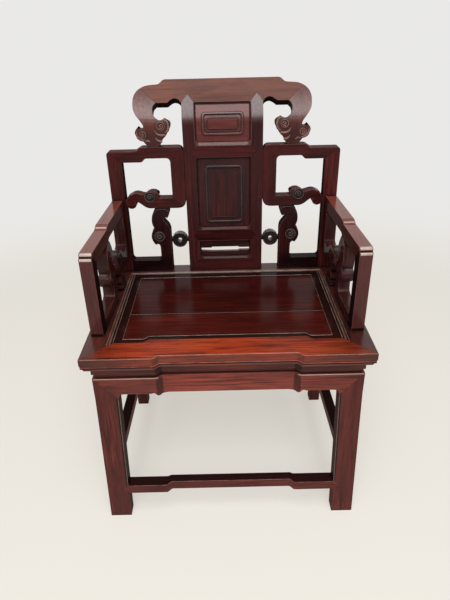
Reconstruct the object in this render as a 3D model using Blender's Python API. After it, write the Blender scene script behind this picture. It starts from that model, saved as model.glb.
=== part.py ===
# Armchair in polished dark hardwood: a framed seat on four splayed legs, a stepped back of
# framed panels between scrolled side frames, and square arms with scrolls under the rails.
# Metres, +Z up. The origin is on the floor under the middle of the chair, the front faces -Y.

import math

import bmesh
import bpy
import numpy as np
from mathutils import Matrix, Vector

# Fits and cutting
fit_gap = 0.0003                # air between neighbouring pieces
overrun = 0.004                 # how far a cutter reaches past what it cuts
raised_root = 0.001             # how deep an added shape is sunk before it is joined
point_weld = fit_gap / 10       # points of one outline nearer than this are one point
fine_weld = fit_gap / 30
plane_tolerance = fit_gap / 100
flat_angle = math.radians(0.1)  # faces that differ by less count as one plane
flat_corner = 0.02              # face normals that differ by less do not pull a corner out

# Steps of the round stretches
fillet_steps = 4
corner_steps = 5
disc_steps = 24
disc_hole_steps = 12

# Seat frame
seat_height = 0.500
seat_half_width = 0.314
seat_depth = 0.4675
seat_rail_thickness = 0.034
seat_rail_width = 0.058
front_rail_width = 0.0635
edge_slope = 0.007              # the lower half of the outer edge draws in by this much
edge_slope_height = 0.018
front_recess = 0.011            # the middle of the front steps back by this much
recess_half_width = 0.153
recess_ramp = 0.014
panel_step_share = 0.703        # where the seat board steps, along half its opening
mitre_tenon_length = 0.020
mitre_tenon_thickness = 0.008

# Seat boards and the batten under them
board_sink = 0.0015             # the margin lies this far below the frame
board_lip = 0.006
board_tongue = 0.006
board_tongue_reach = 0.007
board_side_margin = 0.024
board_front_margin = 0.013
board_rear_margin = 0.026
board_seam_setback = 0.1825
seam_tongue_reach = 0.006
seam_tongue_thickness = 0.004
seam_tongue_end_margin = 0.030
batten_width = 0.032
batten_depth = 0.014
batten_tenon = 0.010

# Waist and aprons, whose outer faces are those of the leg tops
frame_set_in = 0.014            # how far the aprons stand in from the seat's edge
front_overhang = 0.0275
rear_overhang = 0.006
waist_height = 0.036
waist_groove_height = 0.011
waist_groove_depth = 0.005
apron_thickness = 0.018
apron_height = 0.044
apron_corner_drop = 0.012
apron_middle_drop = 0.004
apron_nub_width = 0.036
apron_nub_drop = 0.0075

# Legs
front_leg_width = 0.052
front_leg_depth = 0.031
front_leg_side_splay = 0.009
front_leg_front_splay = 0.008
rear_leg_width = 0.033
rear_leg_depth = 0.032
rear_leg_rake = 0.028
leg_tenon_length = 0.012
leg_tenon_share = 0.6           # of the leg's core behind the aprons

# Stretchers
front_stretcher_top = 0.104
side_stretcher_top = 0.150
rear_stretcher_top = 0.172
front_stretcher_height = 0.0255
stretcher_height = 0.022
front_stretcher_depth = 0.030
side_stretcher_width = 0.027
rear_stretcher_depth = 0.026
stretcher_set_in = 0.002
stretcher_point = 0.012         # length of the pointed shoulder let into the leg
stretcher_tenon_length = 0.016
stretcher_tenon_thickness = 0.009
stretcher_tenon_height = 0.012

# Back as a whole. A rise is measured from the top of the seat.
back_setback = 0.4315           # front face of the back, from the front edge of the seat
back_thickness = 0.029
back_set_in = 0.019             # how far the outer stiles stand in from the seat's edge
back_member = 0.036             # width of the outer stiles
bend_depth = 0.053              # the lean starts this far below the crest's underside
bend_radius = 0.070
lean = math.radians(30)
bend_steps = 5
foot_tenon_length = 0.012
foot_tenon_width = 0.018
foot_tenon_thickness = 0.009
joint_tenon_length = 0.014
joint_tenon_width = 0.011
joint_tenon_thickness = 0.009

# Splat: two stiles, three rails and three panels
splat_half_width = 0.100
splat_stile_width = 0.030
splat_bottom_rail_height = 0.033
bottom_panel_height = 0.053
splat_low_rail_height = 0.032
middle_panel_height = 0.193
splat_rail_height = 0.030
top_panel_height = 0.105
rail_point = 0.015              # length of the pointed shoulders of the rails
stile_point = 0.020
splat_panel_thickness = 0.010
splat_panel_setback = 0.006
splat_panel_tongue = 0.005
panel_raise = 0.003
panel_corner_radius = 0.009
top_ring_half_width = 0.0515
top_ring_half_height = 0.0275
middle_ring_half_width = 0.048
middle_ring_half_height = 0.076
ring_band = 0.005
field_inset = 0.014
slot_half_length = 0.0685
slot_wide_half_length = 0.037
slot_wide_half_height = 0.0065
slot_narrow_half_height = 0.004
splat_tenon_half_width = 0.040

# Crest and its scrolled ends, measured along the leaning face
crest_height = 0.058
crest_shoulder_drop = 0.012
crest_flat_half_width = 0.140
crest_step_width = 0.018
crest_arch_rise = 0.0105
crest_end_outer = 0.219
crest_end_inner = 0.130
crest_mitre_inner = 0.163
crest_tenon_length = 0.018

# Side frames of the back
ear_inner = 0.1012              # inner edge, beside the splat
ear_upright_width = 0.034
ear_bottom_rise = 0.1815
ear_height = 0.1495
ear_step_rise = 0.0095
ear_step_start_share = 0.53     # places of the step along the rail's length, top and underside
ear_step_end_share = 0.63
ear_under_step_start_share = 0.49
ear_under_step_end_share = 0.56
ear_rail_height = 0.028
ear_bar_height = 0.028
ear_corner_radius = 0.013
ear_low_corner_radius = 0.018
outer_corner_radius = 0.008
opening_corner_radius = 0.010
scroll_bar_start = 0.167        # where the bar under the opening begins to curl
scroll_bar_height = 0.046
scroll_tip_share = 0.4          # where the curled tip meets the outer stile, up its height
scroll_tip_half_share = 0.06
scroll_head_share = 0.36        # middle of an upright scroll's head, along its reach
low_frame_inner = 0.147
low_frame_upright_width = 0.031
low_frame_reach = 0.053         # from the inner edge to the tip of the boss
base_rail_height = 0.0315
inner_fillet = 0.008
disc_radius = 0.0205
disc_hole_radius = 0.006
disc_height_rise = 0.089
disc_thickness = 0.019
disc_neck_width = 0.012

# Arms, drawn flat and then turned out to the front
arm_thickness = 0.0285
arm_flare = math.radians(1.7)
arm_front_setback = 0.0915      # front face of the post, from the front edge of the seat
arm_post_depth = 0.030
arm_rail_height = 0.031
arm_step_drop = 0.007           # the front of the handrail lies this far below its rear
arm_rear_top_rise = 0.205
arm_step_start = 0.2325
arm_step_length = 0.020
arm_corner_drop = 0.016
arm_corner_depth = 0.013
arm_scroll_setback = 0.2635     # rear edge of the upright scroll, from the seat's front edge
arm_base_height = 0.025
arm_scroll_reach = 0.056
arm_scroll_width = 0.033
arm_foot_fillet = 0.014
arm_head_share = 0.46           # middle of the scroll's head, along its reach
arm_upright_depth = 0.025       # the upright that stands against the back stile
arm_bar_top_rise = 0.087
arm_bar_height = 0.035
arm_low_corner_radius = 0.012
cloud_height = 0.106
bar_under_share = 0.24          # where the bar's straight underside ends, along the cloud
cloud_foot_share = 0.5          # middle of the cloud's foot, along the cloud

# Outlines that follow no simple rule. Each row is a place along a box, a place up the
# same box, both as shares of its sides, and whether the outline turns sharply there.
crest_end_shares = [
    (0.54, 0.990, False), (0.67, 0.975, False), (0.82, 0.930, False), (0.93, 0.860, False),
    (0.99, 0.770, False), (1.00, 0.675, False), (0.98, 0.575, False), (0.90, 0.482, False),
    (0.81, 0.412, False), (0.745, 0.350, False), (0.735, 0.305, True), (0.80, 0.280, False),
    (0.85, 0.282, False), (0.90, 0.312, True), (0.96, 0.272, False), (0.98, 0.225, False),
    (0.945, 0.172, False), (0.865, 0.133, False), (0.775, 0.106, True), (0.735, 0.067, False),
    (0.675, 0.028, False), (0.63, 0.0, True), (0.36, 0.0, True), (0.30, 0.028, False),
    (0.247, 0.093, True), (0.21, 0.127, False), (0.146, 0.163, False), (0.10, 0.200, False),
    (0.084, 0.240, True), (0.028, 0.272, False), (0.0, 0.330, False), (0.012, 0.382, False),
    (0.062, 0.430, False), (0.129, 0.457, True), (0.19, 0.433, False), (0.258, 0.422, False),
    (0.337, 0.433, False), (0.405, 0.470, False), (0.455, 0.523, False), (0.466, 0.595, False),
    (0.437, 0.655, False),
]
crest_arch_shares = [(0.55, 0.0, True), (0.40, 0.70, False), (0.26, 1.0, False),
                     (0.10, 0.65, False), (0.015, 0.0, True)]
scroll_bar_shares = [
    (0.076, 0.64, True), (0.038, 0.80, False), (0.098, 0.935, False), (0.229, 1.0, False),
    (0.349, 0.935, False), (0.425, 0.80, True), (0.502, 0.826, False), (0.60, 0.89, False),
    (0.709, 0.913, False), (0.861, 0.80, False), (0.949, 0.64, False), (1.0, 0.50, True),
    (1.0, 0.29, True), (0.976, 0.13, False), (0.905, 0.022, False), (0.829, 0.0, False),
    (0.747, 0.076, False), (0.70, 0.228, True), (0.725, 0.391, True), (0.654, 0.38, False),
    (0.567, 0.261, False), (0.469, 0.109, False), (0.36, 0.015, False), (0.251, 0.0, True),
]
upright_scroll_shares = [
    (0.585, 0.245, True), (0.613, 0.296, False), (0.698, 0.323, False), (0.811, 0.306, True),
    (0.925, 0.361, False), (1.0, 0.442, False), (0.981, 0.524, False), (0.906, 0.578, False),
    (0.811, 0.622, True), (0.896, 0.687, False), (0.925, 0.769, False), (0.887, 0.864, False),
    (0.792, 0.939, False), (0.66, 1.0, True), (0.057, 1.0, True), (-0.01, 0.939, False),
    (0.038, 0.871, False), (0.123, 0.813, True), (0.208, 0.827, False), (0.305, 0.813, False),
    (0.321, 0.782, True), (0.189, 0.724, False), (0.057, 0.66, False), (0.0, 0.585, True),
]
arm_scroll_shares = [
    (0.585, 0.20, True), (0.613, 0.235, False), (0.698, 0.255, False), (0.811, 0.242, True),
    (0.925, 0.28, False), (1.0, 0.345, False), (0.981, 0.405, False), (0.906, 0.45, False),
    (0.811, 0.485, True), (0.896, 0.58, False), (0.925, 0.70, False), (0.887, 0.83, False),
    (0.792, 0.93, False), (0.66, 1.0, True), (0.30, 1.0, True), (0.13, 0.90, False),
    (0.0, 0.80, False), (0.06, 0.72, False), (0.275, 0.65, True), (0.20, 0.58, False),
    (0.08, 0.50, False), (0.0, 0.37, True),
]
cloud_shares = [
    (0.19, 0.77, False), (0.309, 0.846, False), (0.428, 0.959, False), (0.520, 0.997, False),
    (0.597, 0.959, True), (0.660, 0.969, False), (0.765, 0.922, False), (0.864, 0.837, False),
    (0.920, 0.733, False), (0.892, 0.620, False), (0.808, 0.563, True), (0.723, 0.525, False),
    (0.639, 0.450, False), (0.611, 0.375, True), (0.667, 0.337, False), (0.695, 0.261, False),
    (0.667, 0.186, False), (0.611, 0.150, True), (0.667, 0.113, False), (0.674, 0.054, False),
    (0.625, 0.0, True), (0.372, 0.0, True), (0.323, 0.063, False), (0.337, 0.125, False),
    (0.379, 0.160, True), (0.337, 0.224, False), (0.337, 0.309, False), (0.386, 0.365, True),
    (0.428, 0.422, False), (0.400, 0.469, True),
]
arm_corner_shares = [(0.0, 0.0, True), (0.10, 0.30, False), (0.38, 0.44, True),
                     (0.42, 0.72, False), (0.62, 0.93, False), (1.0, 1.0, True)]
apron_nub_shares = [(1.0, 0.0, True), (0.93, -0.25, False), (0.83, -0.10, False),
                    (0.68, 0.55, False), (0.53, 1.0, False), (0.37, 0.85, False)]

# Places worked out from the sizes above
frame_half_width = seat_half_width - frame_set_in
back_half_width = seat_half_width - back_set_in
splat_bottom_rail_top = seat_height + splat_bottom_rail_height
splat_low_rail_bottom = splat_bottom_rail_top + bottom_panel_height
splat_low_rail_top = splat_low_rail_bottom + splat_low_rail_height
splat_rail_bottom = splat_low_rail_top + middle_panel_height
splat_rail_top = splat_rail_bottom + splat_rail_height
crest_under = splat_rail_top + top_panel_height
crest_top = crest_under + crest_height
bend_start = crest_under - bend_depth
ear_bottom = seat_height + ear_bottom_rise
ear_top = ear_bottom + ear_height
disc_height = seat_height + disc_height_rise
arm_rear_top = seat_height + arm_rear_top_rise
arm_front_top = arm_rear_top - arm_step_drop
arm_bar_top = seat_height + arm_bar_top_rise
arm_bar_bottom = arm_bar_top - arm_bar_height
panel_step_half_width = (seat_half_width - seat_rail_width) * panel_step_share
back_rear_y = (bend_radius * (1 - math.cos(lean))
               + (crest_top - bend_start - bend_radius * lean) * math.sin(lean)
               + back_thickness * math.cos(lean))
overall_depth = back_setback + back_rear_y
front_edge_y = -overall_depth / 2
rear_edge_y = front_edge_y + seat_depth
leg_front_y = front_edge_y + front_overhang
leg_rear_y = rear_edge_y - rear_overhang
back_face_y = front_edge_y + back_setback
back_middle_y = back_face_y + back_thickness / 2
seat_under = seat_height - seat_rail_thickness
apron_top = seat_under - waist_height
apron_bottom = apron_top - apron_height
on_seat = seat_height + fit_gap


def clear_scene():
    for thing in list(bpy.data.objects):
        bpy.data.objects.remove(thing, do_unlink=True)
    for group in list(bpy.data.collections):
        bpy.data.collections.remove(group)


def new_collection(name):
    group = bpy.data.collections.new(name)
    bpy.context.scene.collection.children.link(group)
    return group


clear_scene()
chair = new_collection("armchair")
cutters = new_collection("cutters")


# Outlines

def arc(centre, radius, start, end, steps):
    points = []
    for step in range(steps + 1):
        angle = math.radians(start + (end - start) * step / steps)
        points.append((centre[0] + radius * math.cos(angle), centre[1] + radius * math.sin(angle)))
    return points


def s_step(start, end, steps=fillet_steps):
    points = []
    for step in range(steps + 1):
        share = step / steps
        eased = (1 - math.cos(math.pi * share)) / 2
        points.append((start[0] + (end[0] - start[0]) * share,
                       start[1] + (end[1] - start[1]) * eased))
    return points


def rounded_rectangle(centre, half_width, half_height, radius, steps=fillet_steps):
    points = []
    for turn, (side, up) in enumerate([(1, 1), (-1, 1), (-1, -1), (1, -1)]):
        corner = (centre[0] + side * (half_width - radius), centre[1] + up * (half_height - radius))
        points += arc(corner, radius, 90 * turn, 90 * (turn + 1), steps)
    return points


def smooth_line(shares, corner, size, steps=3):
    """Points of a line through the shares of a box, rounded except where a row is sharp."""
    knots = []
    for along, up, sharp in shares:
        place = np.array([corner[0] + along * size[0], corner[1] + up * size[1]])
        knots.append((place, sharp))
    tangents = []
    for index, (place, sharp) in enumerate(knots):
        inner = 0 < index < len(knots) - 1 and not sharp
        if inner:
            across = knots[index + 1][0] - knots[index - 1][0]
            tangents.append(across / np.linalg.norm(across))
        else:
            tangents.append(None)
    points = []
    for index in range(len(knots) - 1):
        start, end = knots[index][0], knots[index + 1][0]
        points.append(tuple(start))
        if tangents[index] is None and tangents[index + 1] is None:
            continue
        chord = end - start
        length = np.linalg.norm(chord)
        leave = chord if tangents[index] is None else tangents[index] * length
        arrive = chord if tangents[index + 1] is None else tangents[index + 1] * length
        for step in range(1, steps):
            t = step / steps
            place = ((2 * t**3 - 3 * t**2 + 1) * start + (t**3 - 2 * t**2 + t) * leave
                     + (3 * t**2 - 2 * t**3) * end + (t**3 - t**2) * arrive)
            points.append(tuple(place))
    points.append(tuple(knots[-1][0]))
    return points


# Solids

plane_turns = {
    "front": Matrix(((1, 0, 0), (0, 0, -1), (0, 1, 0))),
    "side": Matrix(((0, 0, 1), (1, 0, 0), (0, 1, 0))),
    "plan": Matrix.Identity(3),
}
plane_offsets = {"front": Vector((0, 1, 0)), "side": Vector((1, 0, 0)), "plan": Vector((0, 0, 1))}


def add_object(name, mesh, group):
    thing = bpy.data.objects.new(name, mesh)
    group.objects.link(thing)
    return thing


def tool_object(name, mesh):
    tool = add_object(name, mesh, cutters)
    tool.hide_render = True
    tool.display_type = "WIRE"
    return tool


def box_mesh(name, low, high):
    size = Vector(high) - Vector(low)
    shape = bmesh.new()
    bmesh.ops.create_cube(shape, size=1)
    bmesh.ops.scale(shape, vec=size, verts=shape.verts)
    bmesh.ops.translate(shape, vec=(Vector(low) + Vector(high)) / 2, verts=shape.verts)
    mesh = bpy.data.meshes.new(name)
    shape.to_mesh(mesh)
    shape.free()
    return mesh


def box(name, low, high):
    return add_object(name, box_mesh(name, low, high), chair)


def merge_flat(shape):
    """Welds stray points and joins the faces that lie in one plane."""
    bmesh.ops.remove_doubles(shape, verts=shape.verts, dist=fine_weld)
    bmesh.ops.dissolve_degenerate(shape, edges=shape.edges, dist=fine_weld)
    bmesh.ops.dissolve_limit(shape, angle_limit=flat_angle, verts=shape.verts, edges=shape.edges)


def board_mesh(name, outlines, plane, low, high):
    """A flat board: closed outlines in a plane, filled and carried from low to high."""
    curve = bpy.data.curves.new(name, "CURVE")
    curve.dimensions = "2D"
    curve.fill_mode = "BOTH"
    curve.extrude = (high - low) / 2
    for outline in outlines:
        spline = curve.splines.new("POLY")
        spline.points.add(len(outline) - 1)
        for point, (along, up) in zip(spline.points, outline):
            point.co = (along, up, 0, 1)
        spline.use_cyclic_u = True
    holder = add_object(name, curve, cutters)
    graph = bpy.context.evaluated_depsgraph_get()
    mesh = bpy.data.meshes.new_from_object(holder.evaluated_get(graph))
    bpy.data.objects.remove(holder, do_unlink=True)
    bpy.data.curves.remove(curve)
    shape = bmesh.new()
    shape.from_mesh(mesh)
    bmesh.ops.remove_doubles(shape, verts=shape.verts, dist=point_weld)
    turn = plane_turns[plane].to_4x4()
    turn.translation = plane_offsets[plane] * ((low + high) / 2)
    bmesh.ops.transform(shape, matrix=turn, verts=shape.verts)
    bmesh.ops.recalc_face_normals(shape, faces=shape.faces)
    merge_flat(shape)
    shape.to_mesh(mesh)
    shape.free()
    return mesh


def board(name, outlines, plane, low, high):
    return add_object(name, board_mesh(name, outlines, plane, low, high), chair)


def board_tool(name, outlines, plane, low, high):
    return tool_object(name, board_mesh(name, outlines, plane, low, high))


# Joinery

def combine(piece, tool, operation):
    modifier = piece.modifiers.new("joint", "BOOLEAN")
    modifier.operation = operation
    modifier.object = tool
    graph = bpy.context.evaluated_depsgraph_get()
    mesh = bpy.data.meshes.new_from_object(piece.evaluated_get(graph))
    piece.modifiers.remove(modifier)
    shape = bmesh.new()
    shape.from_mesh(mesh)
    merge_flat(shape)
    shape.to_mesh(mesh)
    shape.free()
    old = piece.data
    piece.data = mesh
    bpy.data.meshes.remove(old)


def drop(tool):
    mesh = tool.data
    bpy.data.objects.remove(tool, do_unlink=True)
    bpy.data.meshes.remove(mesh)


def join(piece, tool):
    combine(piece, tool, "UNION")
    drop(tool)


def cut(piece, tool):
    combine(piece, tool, "DIFFERENCE")
    drop(tool)


def keep_inside(piece, tool):
    combine(piece, tool, "INTERSECT")
    drop(tool)


def grown_tool(piece):
    """A copy of a piece whose every face stands out by the fit gap."""
    shape = bmesh.new()
    shape.from_mesh(piece.data)
    shape.normal_update()
    moves = []
    for vertex in shape.verts:
        normals = np.array([face.normal for face in vertex.link_faces if face.calc_area() > 0])
        reach = np.full(len(normals), fit_gap)
        moves.append(np.linalg.lstsq(normals, reach, rcond=flat_corner)[0])
    for vertex, move in zip(shape.verts, moves):
        vertex.co += Vector(move)
    mesh = bpy.data.meshes.new(piece.name + "_room")
    shape.to_mesh(mesh)
    shape.free()
    return tool_object(mesh.name, mesh)


def mirror_mesh(mesh):
    shape = bmesh.new()
    shape.from_mesh(mesh)
    bmesh.ops.scale(shape, vec=(-1, 1, 1), verts=shape.verts)
    bmesh.ops.reverse_faces(shape, faces=shape.faces)
    shape.to_mesh(mesh)
    shape.free()


def make_room(host, piece, both_sides=False):
    """Cuts a host back to the fit gap around a piece, and around its mirror image."""
    tool = grown_tool(piece)
    combine(host, tool, "DIFFERENCE")
    if both_sides:
        mirror_mesh(tool.data)
        combine(host, tool, "DIFFERENCE")
    drop(tool)


def tenon(owner, host, low, high, both_sides=False):
    """A square tenon on one piece and its mortise, a fit gap larger, in another."""
    gap = Vector((fit_gap, fit_gap, fit_gap))
    tongue = tool_object("tongue", box_mesh("tongue", low, high))
    combine(owner, tongue, "UNION")
    mortise = tool_object("mortise", box_mesh("mortise", Vector(low) - gap, Vector(high) + gap))
    combine(host, mortise, "DIFFERENCE")
    if both_sides:
        centre_owner = owner.get("on_centre_line", False)
        mirror_mesh(tongue.data)
        mirror_mesh(mortise.data)
        if centre_owner:
            combine(owner, tongue, "UNION")
        else:
            combine(host, mortise, "DIFFERENCE")
    drop(tongue)
    drop(mortise)


def trim(piece, point, normal):
    """Cuts off what lies on the normal's side of a plane and closes the cut."""
    shape = bmesh.new()
    shape.from_mesh(piece.data)
    everything = list(shape.verts) + list(shape.edges) + list(shape.faces)
    bmesh.ops.bisect_plane(shape, geom=everything, dist=plane_tolerance,
                           plane_co=point, plane_no=normal, clear_outer=True)
    open_edges = [edge for edge in shape.edges if edge.is_boundary]
    bmesh.ops.holes_fill(shape, edges=open_edges, sides=0)
    bmesh.ops.recalc_face_normals(shape, faces=shape.faces)
    shape.to_mesh(piece.data)
    shape.free()


def copy_piece(piece, name):
    return add_object(name, piece.data.copy(), chair)


def split(piece, name, point, direction):
    """Saws a piece in two through a point, along a direction: the new one is on its right."""
    normal = Vector((direction[2], 0, -direction[0])).normalized()
    if direction[1]:
        normal = Vector((0, direction[2], -direction[1])).normalized()
    other = copy_piece(piece, name)
    half_kerf = normal * (fit_gap / 2)
    trim(piece, Vector(point) - half_kerf, normal)
    trim(other, Vector(point) + half_kerf, -normal)
    return other


def round_corner(piece, corner, radius, turn, plane, low, high):
    """Rounds an outer corner: turn 0 is right and up, then on anticlockwise by quarters."""
    side = (1, -1, -1, 1)[turn]
    up = (1, 1, -1, -1)[turn]
    centre = (corner[0] - side * radius, corner[1] - up * radius)
    outline = arc(centre, radius, 90 * turn, 90 * (turn + 1), corner_steps)
    first, last = outline[0], outline[-1]
    far = (corner[0] + side * overrun, corner[1] + up * overrun)
    if turn % 2 == 0:
        outline += [(last[0], far[1]), far, (far[0], first[1])]
    else:
        outline += [(far[0], last[1]), far, (first[0], far[1])]
    cut(piece, board_tool("corner", [outline], plane, low - overrun, high + overrun))


# The bend of the crest and the splat: a board drawn flat is laid on a bent profile

def bend_levels():
    return [bend_start + bend_radius * lean * step / bend_steps for step in range(bend_steps + 1)]


def bend_profile():
    rows = []
    for step in range(bend_steps + 1):
        angle = lean * step / bend_steps
        place = Vector((0, back_face_y + bend_radius * (1 - math.cos(angle)),
                        bend_start + bend_radius * math.sin(angle)))
        rows.append((place, Vector((0, math.cos(angle), -math.sin(angle)))))
    return rows


def bent_point(place):
    levels = bend_levels()
    if place.z <= levels[0]:
        return place
    rows = bend_profile()
    depth = place.y - back_face_y
    if place.z >= levels[-1]:
        start, inward = rows[-1]
        rise = Vector((0, math.sin(lean), math.cos(lean))) * (place.z - levels[-1])
        bent = start + inward * depth + rise
    else:
        step = min(int((place.z - levels[0]) / (levels[1] - levels[0])), bend_steps - 1)
        share = (place.z - levels[step]) / (levels[step + 1] - levels[step])
        lower = rows[step][0] + rows[step][1] * depth
        upper = rows[step + 1][0] + rows[step + 1][1] * depth
        bent = lower.lerp(upper, share)
    bent.x = place.x
    return bent


def bend(piece):
    shape = bmesh.new()
    shape.from_mesh(piece.data)
    for level in bend_levels():
        everything = list(shape.verts) + list(shape.edges) + list(shape.faces)
        bmesh.ops.bisect_plane(shape, geom=everything, dist=plane_tolerance,
                               plane_co=(0, 0, level), plane_no=(0, 0, 1))
    for vertex in shape.verts:
        vertex.co = bent_point(vertex.co.copy())
    bmesh.ops.remove_doubles(shape, verts=shape.verts, dist=point_weld)
    bmesh.ops.dissolve_degenerate(shape, edges=shape.edges, dist=point_weld)
    bmesh.ops.triangulate(shape, faces=shape.faces)
    shape.to_mesh(piece.data)
    shape.free()


# Seat

def stepped_line(half_length, y, step, step_half_width, ramp):
    """A line along the front whose middle lies further back, from left to right."""
    if step == 0:
        return [(-half_length, y), (half_length, y)]
    right = s_step((step_half_width - ramp / 2, y + step), (step_half_width + ramp / 2, y))
    left = [(-x, place) for x, place in reversed(right)]
    return [(-half_length, y)] + left + right + [(half_length, y)]


def strip_outline(half_length, near_y, far_y, near_step, far_step, far_half_width):
    near = stepped_line(half_length, near_y, near_step, recess_half_width, recess_ramp)
    far = stepped_line(half_length, far_y, far_step, far_half_width, recess_ramp)
    return near + list(reversed(far))


def mitre_ends(piece, half_length, y, inward):
    """Saws both ends of a cross piece at 45 degrees in plan."""
    kerf = fit_gap / 2
    for side in (1, -1):
        point = Vector((side * (half_length - kerf), y, 0))
        trim(piece, point, Vector((side, inward, 0)).normalized())


def mitre_side(piece, x, front_y, rear_y):
    """Saws both ends of a right-hand side piece at 45 degrees in plan."""
    kerf = fit_gap / 2
    trim(piece, Vector((x, front_y + kerf, 0)), Vector((-1, -1, 0)).normalized())
    trim(piece, Vector((x, rear_y - kerf, 0)), Vector((-1, 1, 0)).normalized())


def slope_edges(piece):
    """Draws in the lower half of the seat frame's outer edge."""
    level = seat_under + edge_slope_height
    shape = bmesh.new()
    shape.from_mesh(piece.data)
    everything = list(shape.verts) + list(shape.edges) + list(shape.faces)
    bmesh.ops.bisect_plane(shape, geom=everything, dist=plane_tolerance,
                           plane_co=(0, 0, level), plane_no=(0, 0, 1))
    for vertex in shape.verts:
        if vertex.co.z > (level + seat_under) / 2:
            continue
        if abs(vertex.co.x) > seat_half_width - edge_slope:
            vertex.co.x -= math.copysign(edge_slope, vertex.co.x)
        if vertex.co.y < front_edge_y + front_recess + edge_slope:
            vertex.co.y += edge_slope
        if vertex.co.y > rear_edge_y - edge_slope:
            vertex.co.y -= edge_slope
    shape.to_mesh(piece.data)
    shape.free()


def make_seat_frame():
    inner_y = front_edge_y + front_rail_width
    outline = strip_outline(seat_half_width + overrun, front_edge_y, inner_y,
                            front_recess, front_recess, panel_step_half_width)
    front = board("seat_rail_front", [outline], "plan", seat_under, seat_height)
    mitre_ends(front, seat_half_width, front_edge_y, 1)
    rear = box("seat_rail_rear", (-seat_half_width - overrun, rear_edge_y - seat_rail_width, seat_under),
               (seat_half_width + overrun, rear_edge_y, seat_height))
    mitre_ends(rear, seat_half_width, rear_edge_y, -1)
    right = box("seat_rail_right", (seat_half_width - seat_rail_width, front_edge_y, seat_under),
                (seat_half_width, rear_edge_y, seat_height))
    mitre_side(right, seat_half_width, front_edge_y, rear_edge_y)
    front["on_centre_line"] = True
    rear["on_centre_line"] = True
    for piece in (front, rear, right):
        slope_edges(piece)
    middle_x = seat_half_width - seat_rail_width / 2
    middle_z = seat_under + seat_rail_thickness / 2
    for cross, y in ((front, front_edge_y), (rear, rear_edge_y)):
        inward = 1 if y < 0 else -1
        middle_y = y + inward * (seat_rail_width / 2)
        low = (middle_x - mitre_tenon_length / 2, middle_y - mitre_tenon_length / 2,
               middle_z - mitre_tenon_thickness / 2)
        high = (middle_x + mitre_tenon_length / 2, middle_y + mitre_tenon_length / 2,
                middle_z + mitre_tenon_thickness / 2)
        tenon(cross, right, low, high, both_sides=True)
    return front, rear, right


def board_outline(grow, front_y, rear_y, half_width):
    """The seat board's plan, grown or drawn in on all sides."""
    near = stepped_line(half_width + grow, front_y - grow, front_recess,
                        panel_step_half_width, recess_ramp)
    return near + [(half_width + grow, rear_y + grow), (-half_width - grow, rear_y + grow)]


def make_seat_boards(front, rear, right):
    opening_front = front_edge_y + front_rail_width
    opening_rear = rear_edge_y - seat_rail_width
    opening_half = seat_half_width - seat_rail_width
    margin_top = seat_height - board_sink
    tongue_top = margin_top - board_lip
    tongue_low = tongue_top - board_tongue
    outline = board_outline(board_tongue_reach, opening_front, opening_rear, opening_half)
    whole = board("seat_board_front", [outline], "plan", tongue_low, tongue_top)
    for rail in (front, rear, right):
        make_room(rail, whole)
    outline = board_outline(-fit_gap, opening_front, opening_rear, opening_half)
    join(whole, board_tool("lip", [outline], "plan", tongue_top - raised_root, margin_top))
    outline = board_outline(0, opening_front + board_front_margin, opening_rear - board_rear_margin,
                            opening_half - board_side_margin)
    join(whole, board_tool("field", [outline], "plan", margin_top - raised_root, seat_height))
    seam_y = front_edge_y + board_seam_setback
    behind = copy_piece(whole, "seat_board_rear")
    trim(whole, Vector((0, seam_y - fit_gap / 2, 0)), Vector((0, 1, 0)))
    trim(behind, Vector((0, seam_y + fit_gap / 2, 0)), Vector((0, -1, 0)))
    half = opening_half - seam_tongue_end_margin
    middle_z = (tongue_top + tongue_low) / 2
    tenon(whole, behind, (-half, seam_y - seam_tongue_reach, middle_z - seam_tongue_thickness / 2),
          (half, seam_y + seam_tongue_reach, middle_z + seam_tongue_thickness / 2))
    batten_top = tongue_low - fit_gap
    batten = box("seat_batten",
                 (-batten_width / 2, opening_front + front_recess + fit_gap, batten_top - batten_depth),
                 (batten_width / 2, opening_rear - fit_gap, batten_top))
    half_tenon = batten_depth / 4
    middle_z = batten_top - batten_depth / 2
    for host, y in ((front, opening_front + front_recess), (rear, opening_rear)):
        tenon(batten, host, (-batten_width / 4, y - batten_tenon, middle_z - half_tenon),
              (batten_width / 4, y + batten_tenon, middle_z + half_tenon))
    return whole, behind, batten


# Waist and aprons

def waist_groove(far_y, half_length, step):
    near_y = leg_front_y - overrun
    far = stepped_line(half_length, far_y, step, recess_half_width, recess_ramp)
    return [(-half_length, near_y), (half_length, near_y)] + list(reversed(far))


def make_waist():
    low = apron_top + fit_gap
    high = seat_under - fit_gap
    groove_low = low - overrun
    groove_high = apron_top + waist_groove_height
    long_half = frame_half_width + overrun
    outline = strip_outline(long_half, leg_front_y, leg_front_y + apron_thickness,
                            front_recess, 0, recess_half_width)
    front = board("waist_front", [outline], "plan", low, high)
    groove = waist_groove(leg_front_y + waist_groove_depth, long_half + overrun, front_recess)
    cut(front, board_tool("groove", [groove], "plan", groove_low, groove_high))
    mitre_ends(front, frame_half_width, leg_front_y, 1)
    rear = box("waist_rear", (-long_half, leg_rear_y - apron_thickness, low),
               (long_half, leg_rear_y, high))
    cut(rear, tool_object("groove", box_mesh(
        "groove", (-long_half - overrun, leg_rear_y - waist_groove_depth, groove_low),
        (long_half + overrun, leg_rear_y + overrun, groove_high))))
    mitre_ends(rear, frame_half_width, leg_rear_y, -1)
    right = box("waist_right", (frame_half_width - apron_thickness, leg_front_y, low),
                (frame_half_width, leg_rear_y, high))
    cut(right, tool_object("groove", box_mesh(
        "groove", (frame_half_width - waist_groove_depth, leg_front_y - overrun, groove_low),
        (frame_half_width + overrun, leg_rear_y + overrun, groove_high))))
    mitre_side(right, frame_half_width, leg_front_y, leg_rear_y)
    return front, rear, right


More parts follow.
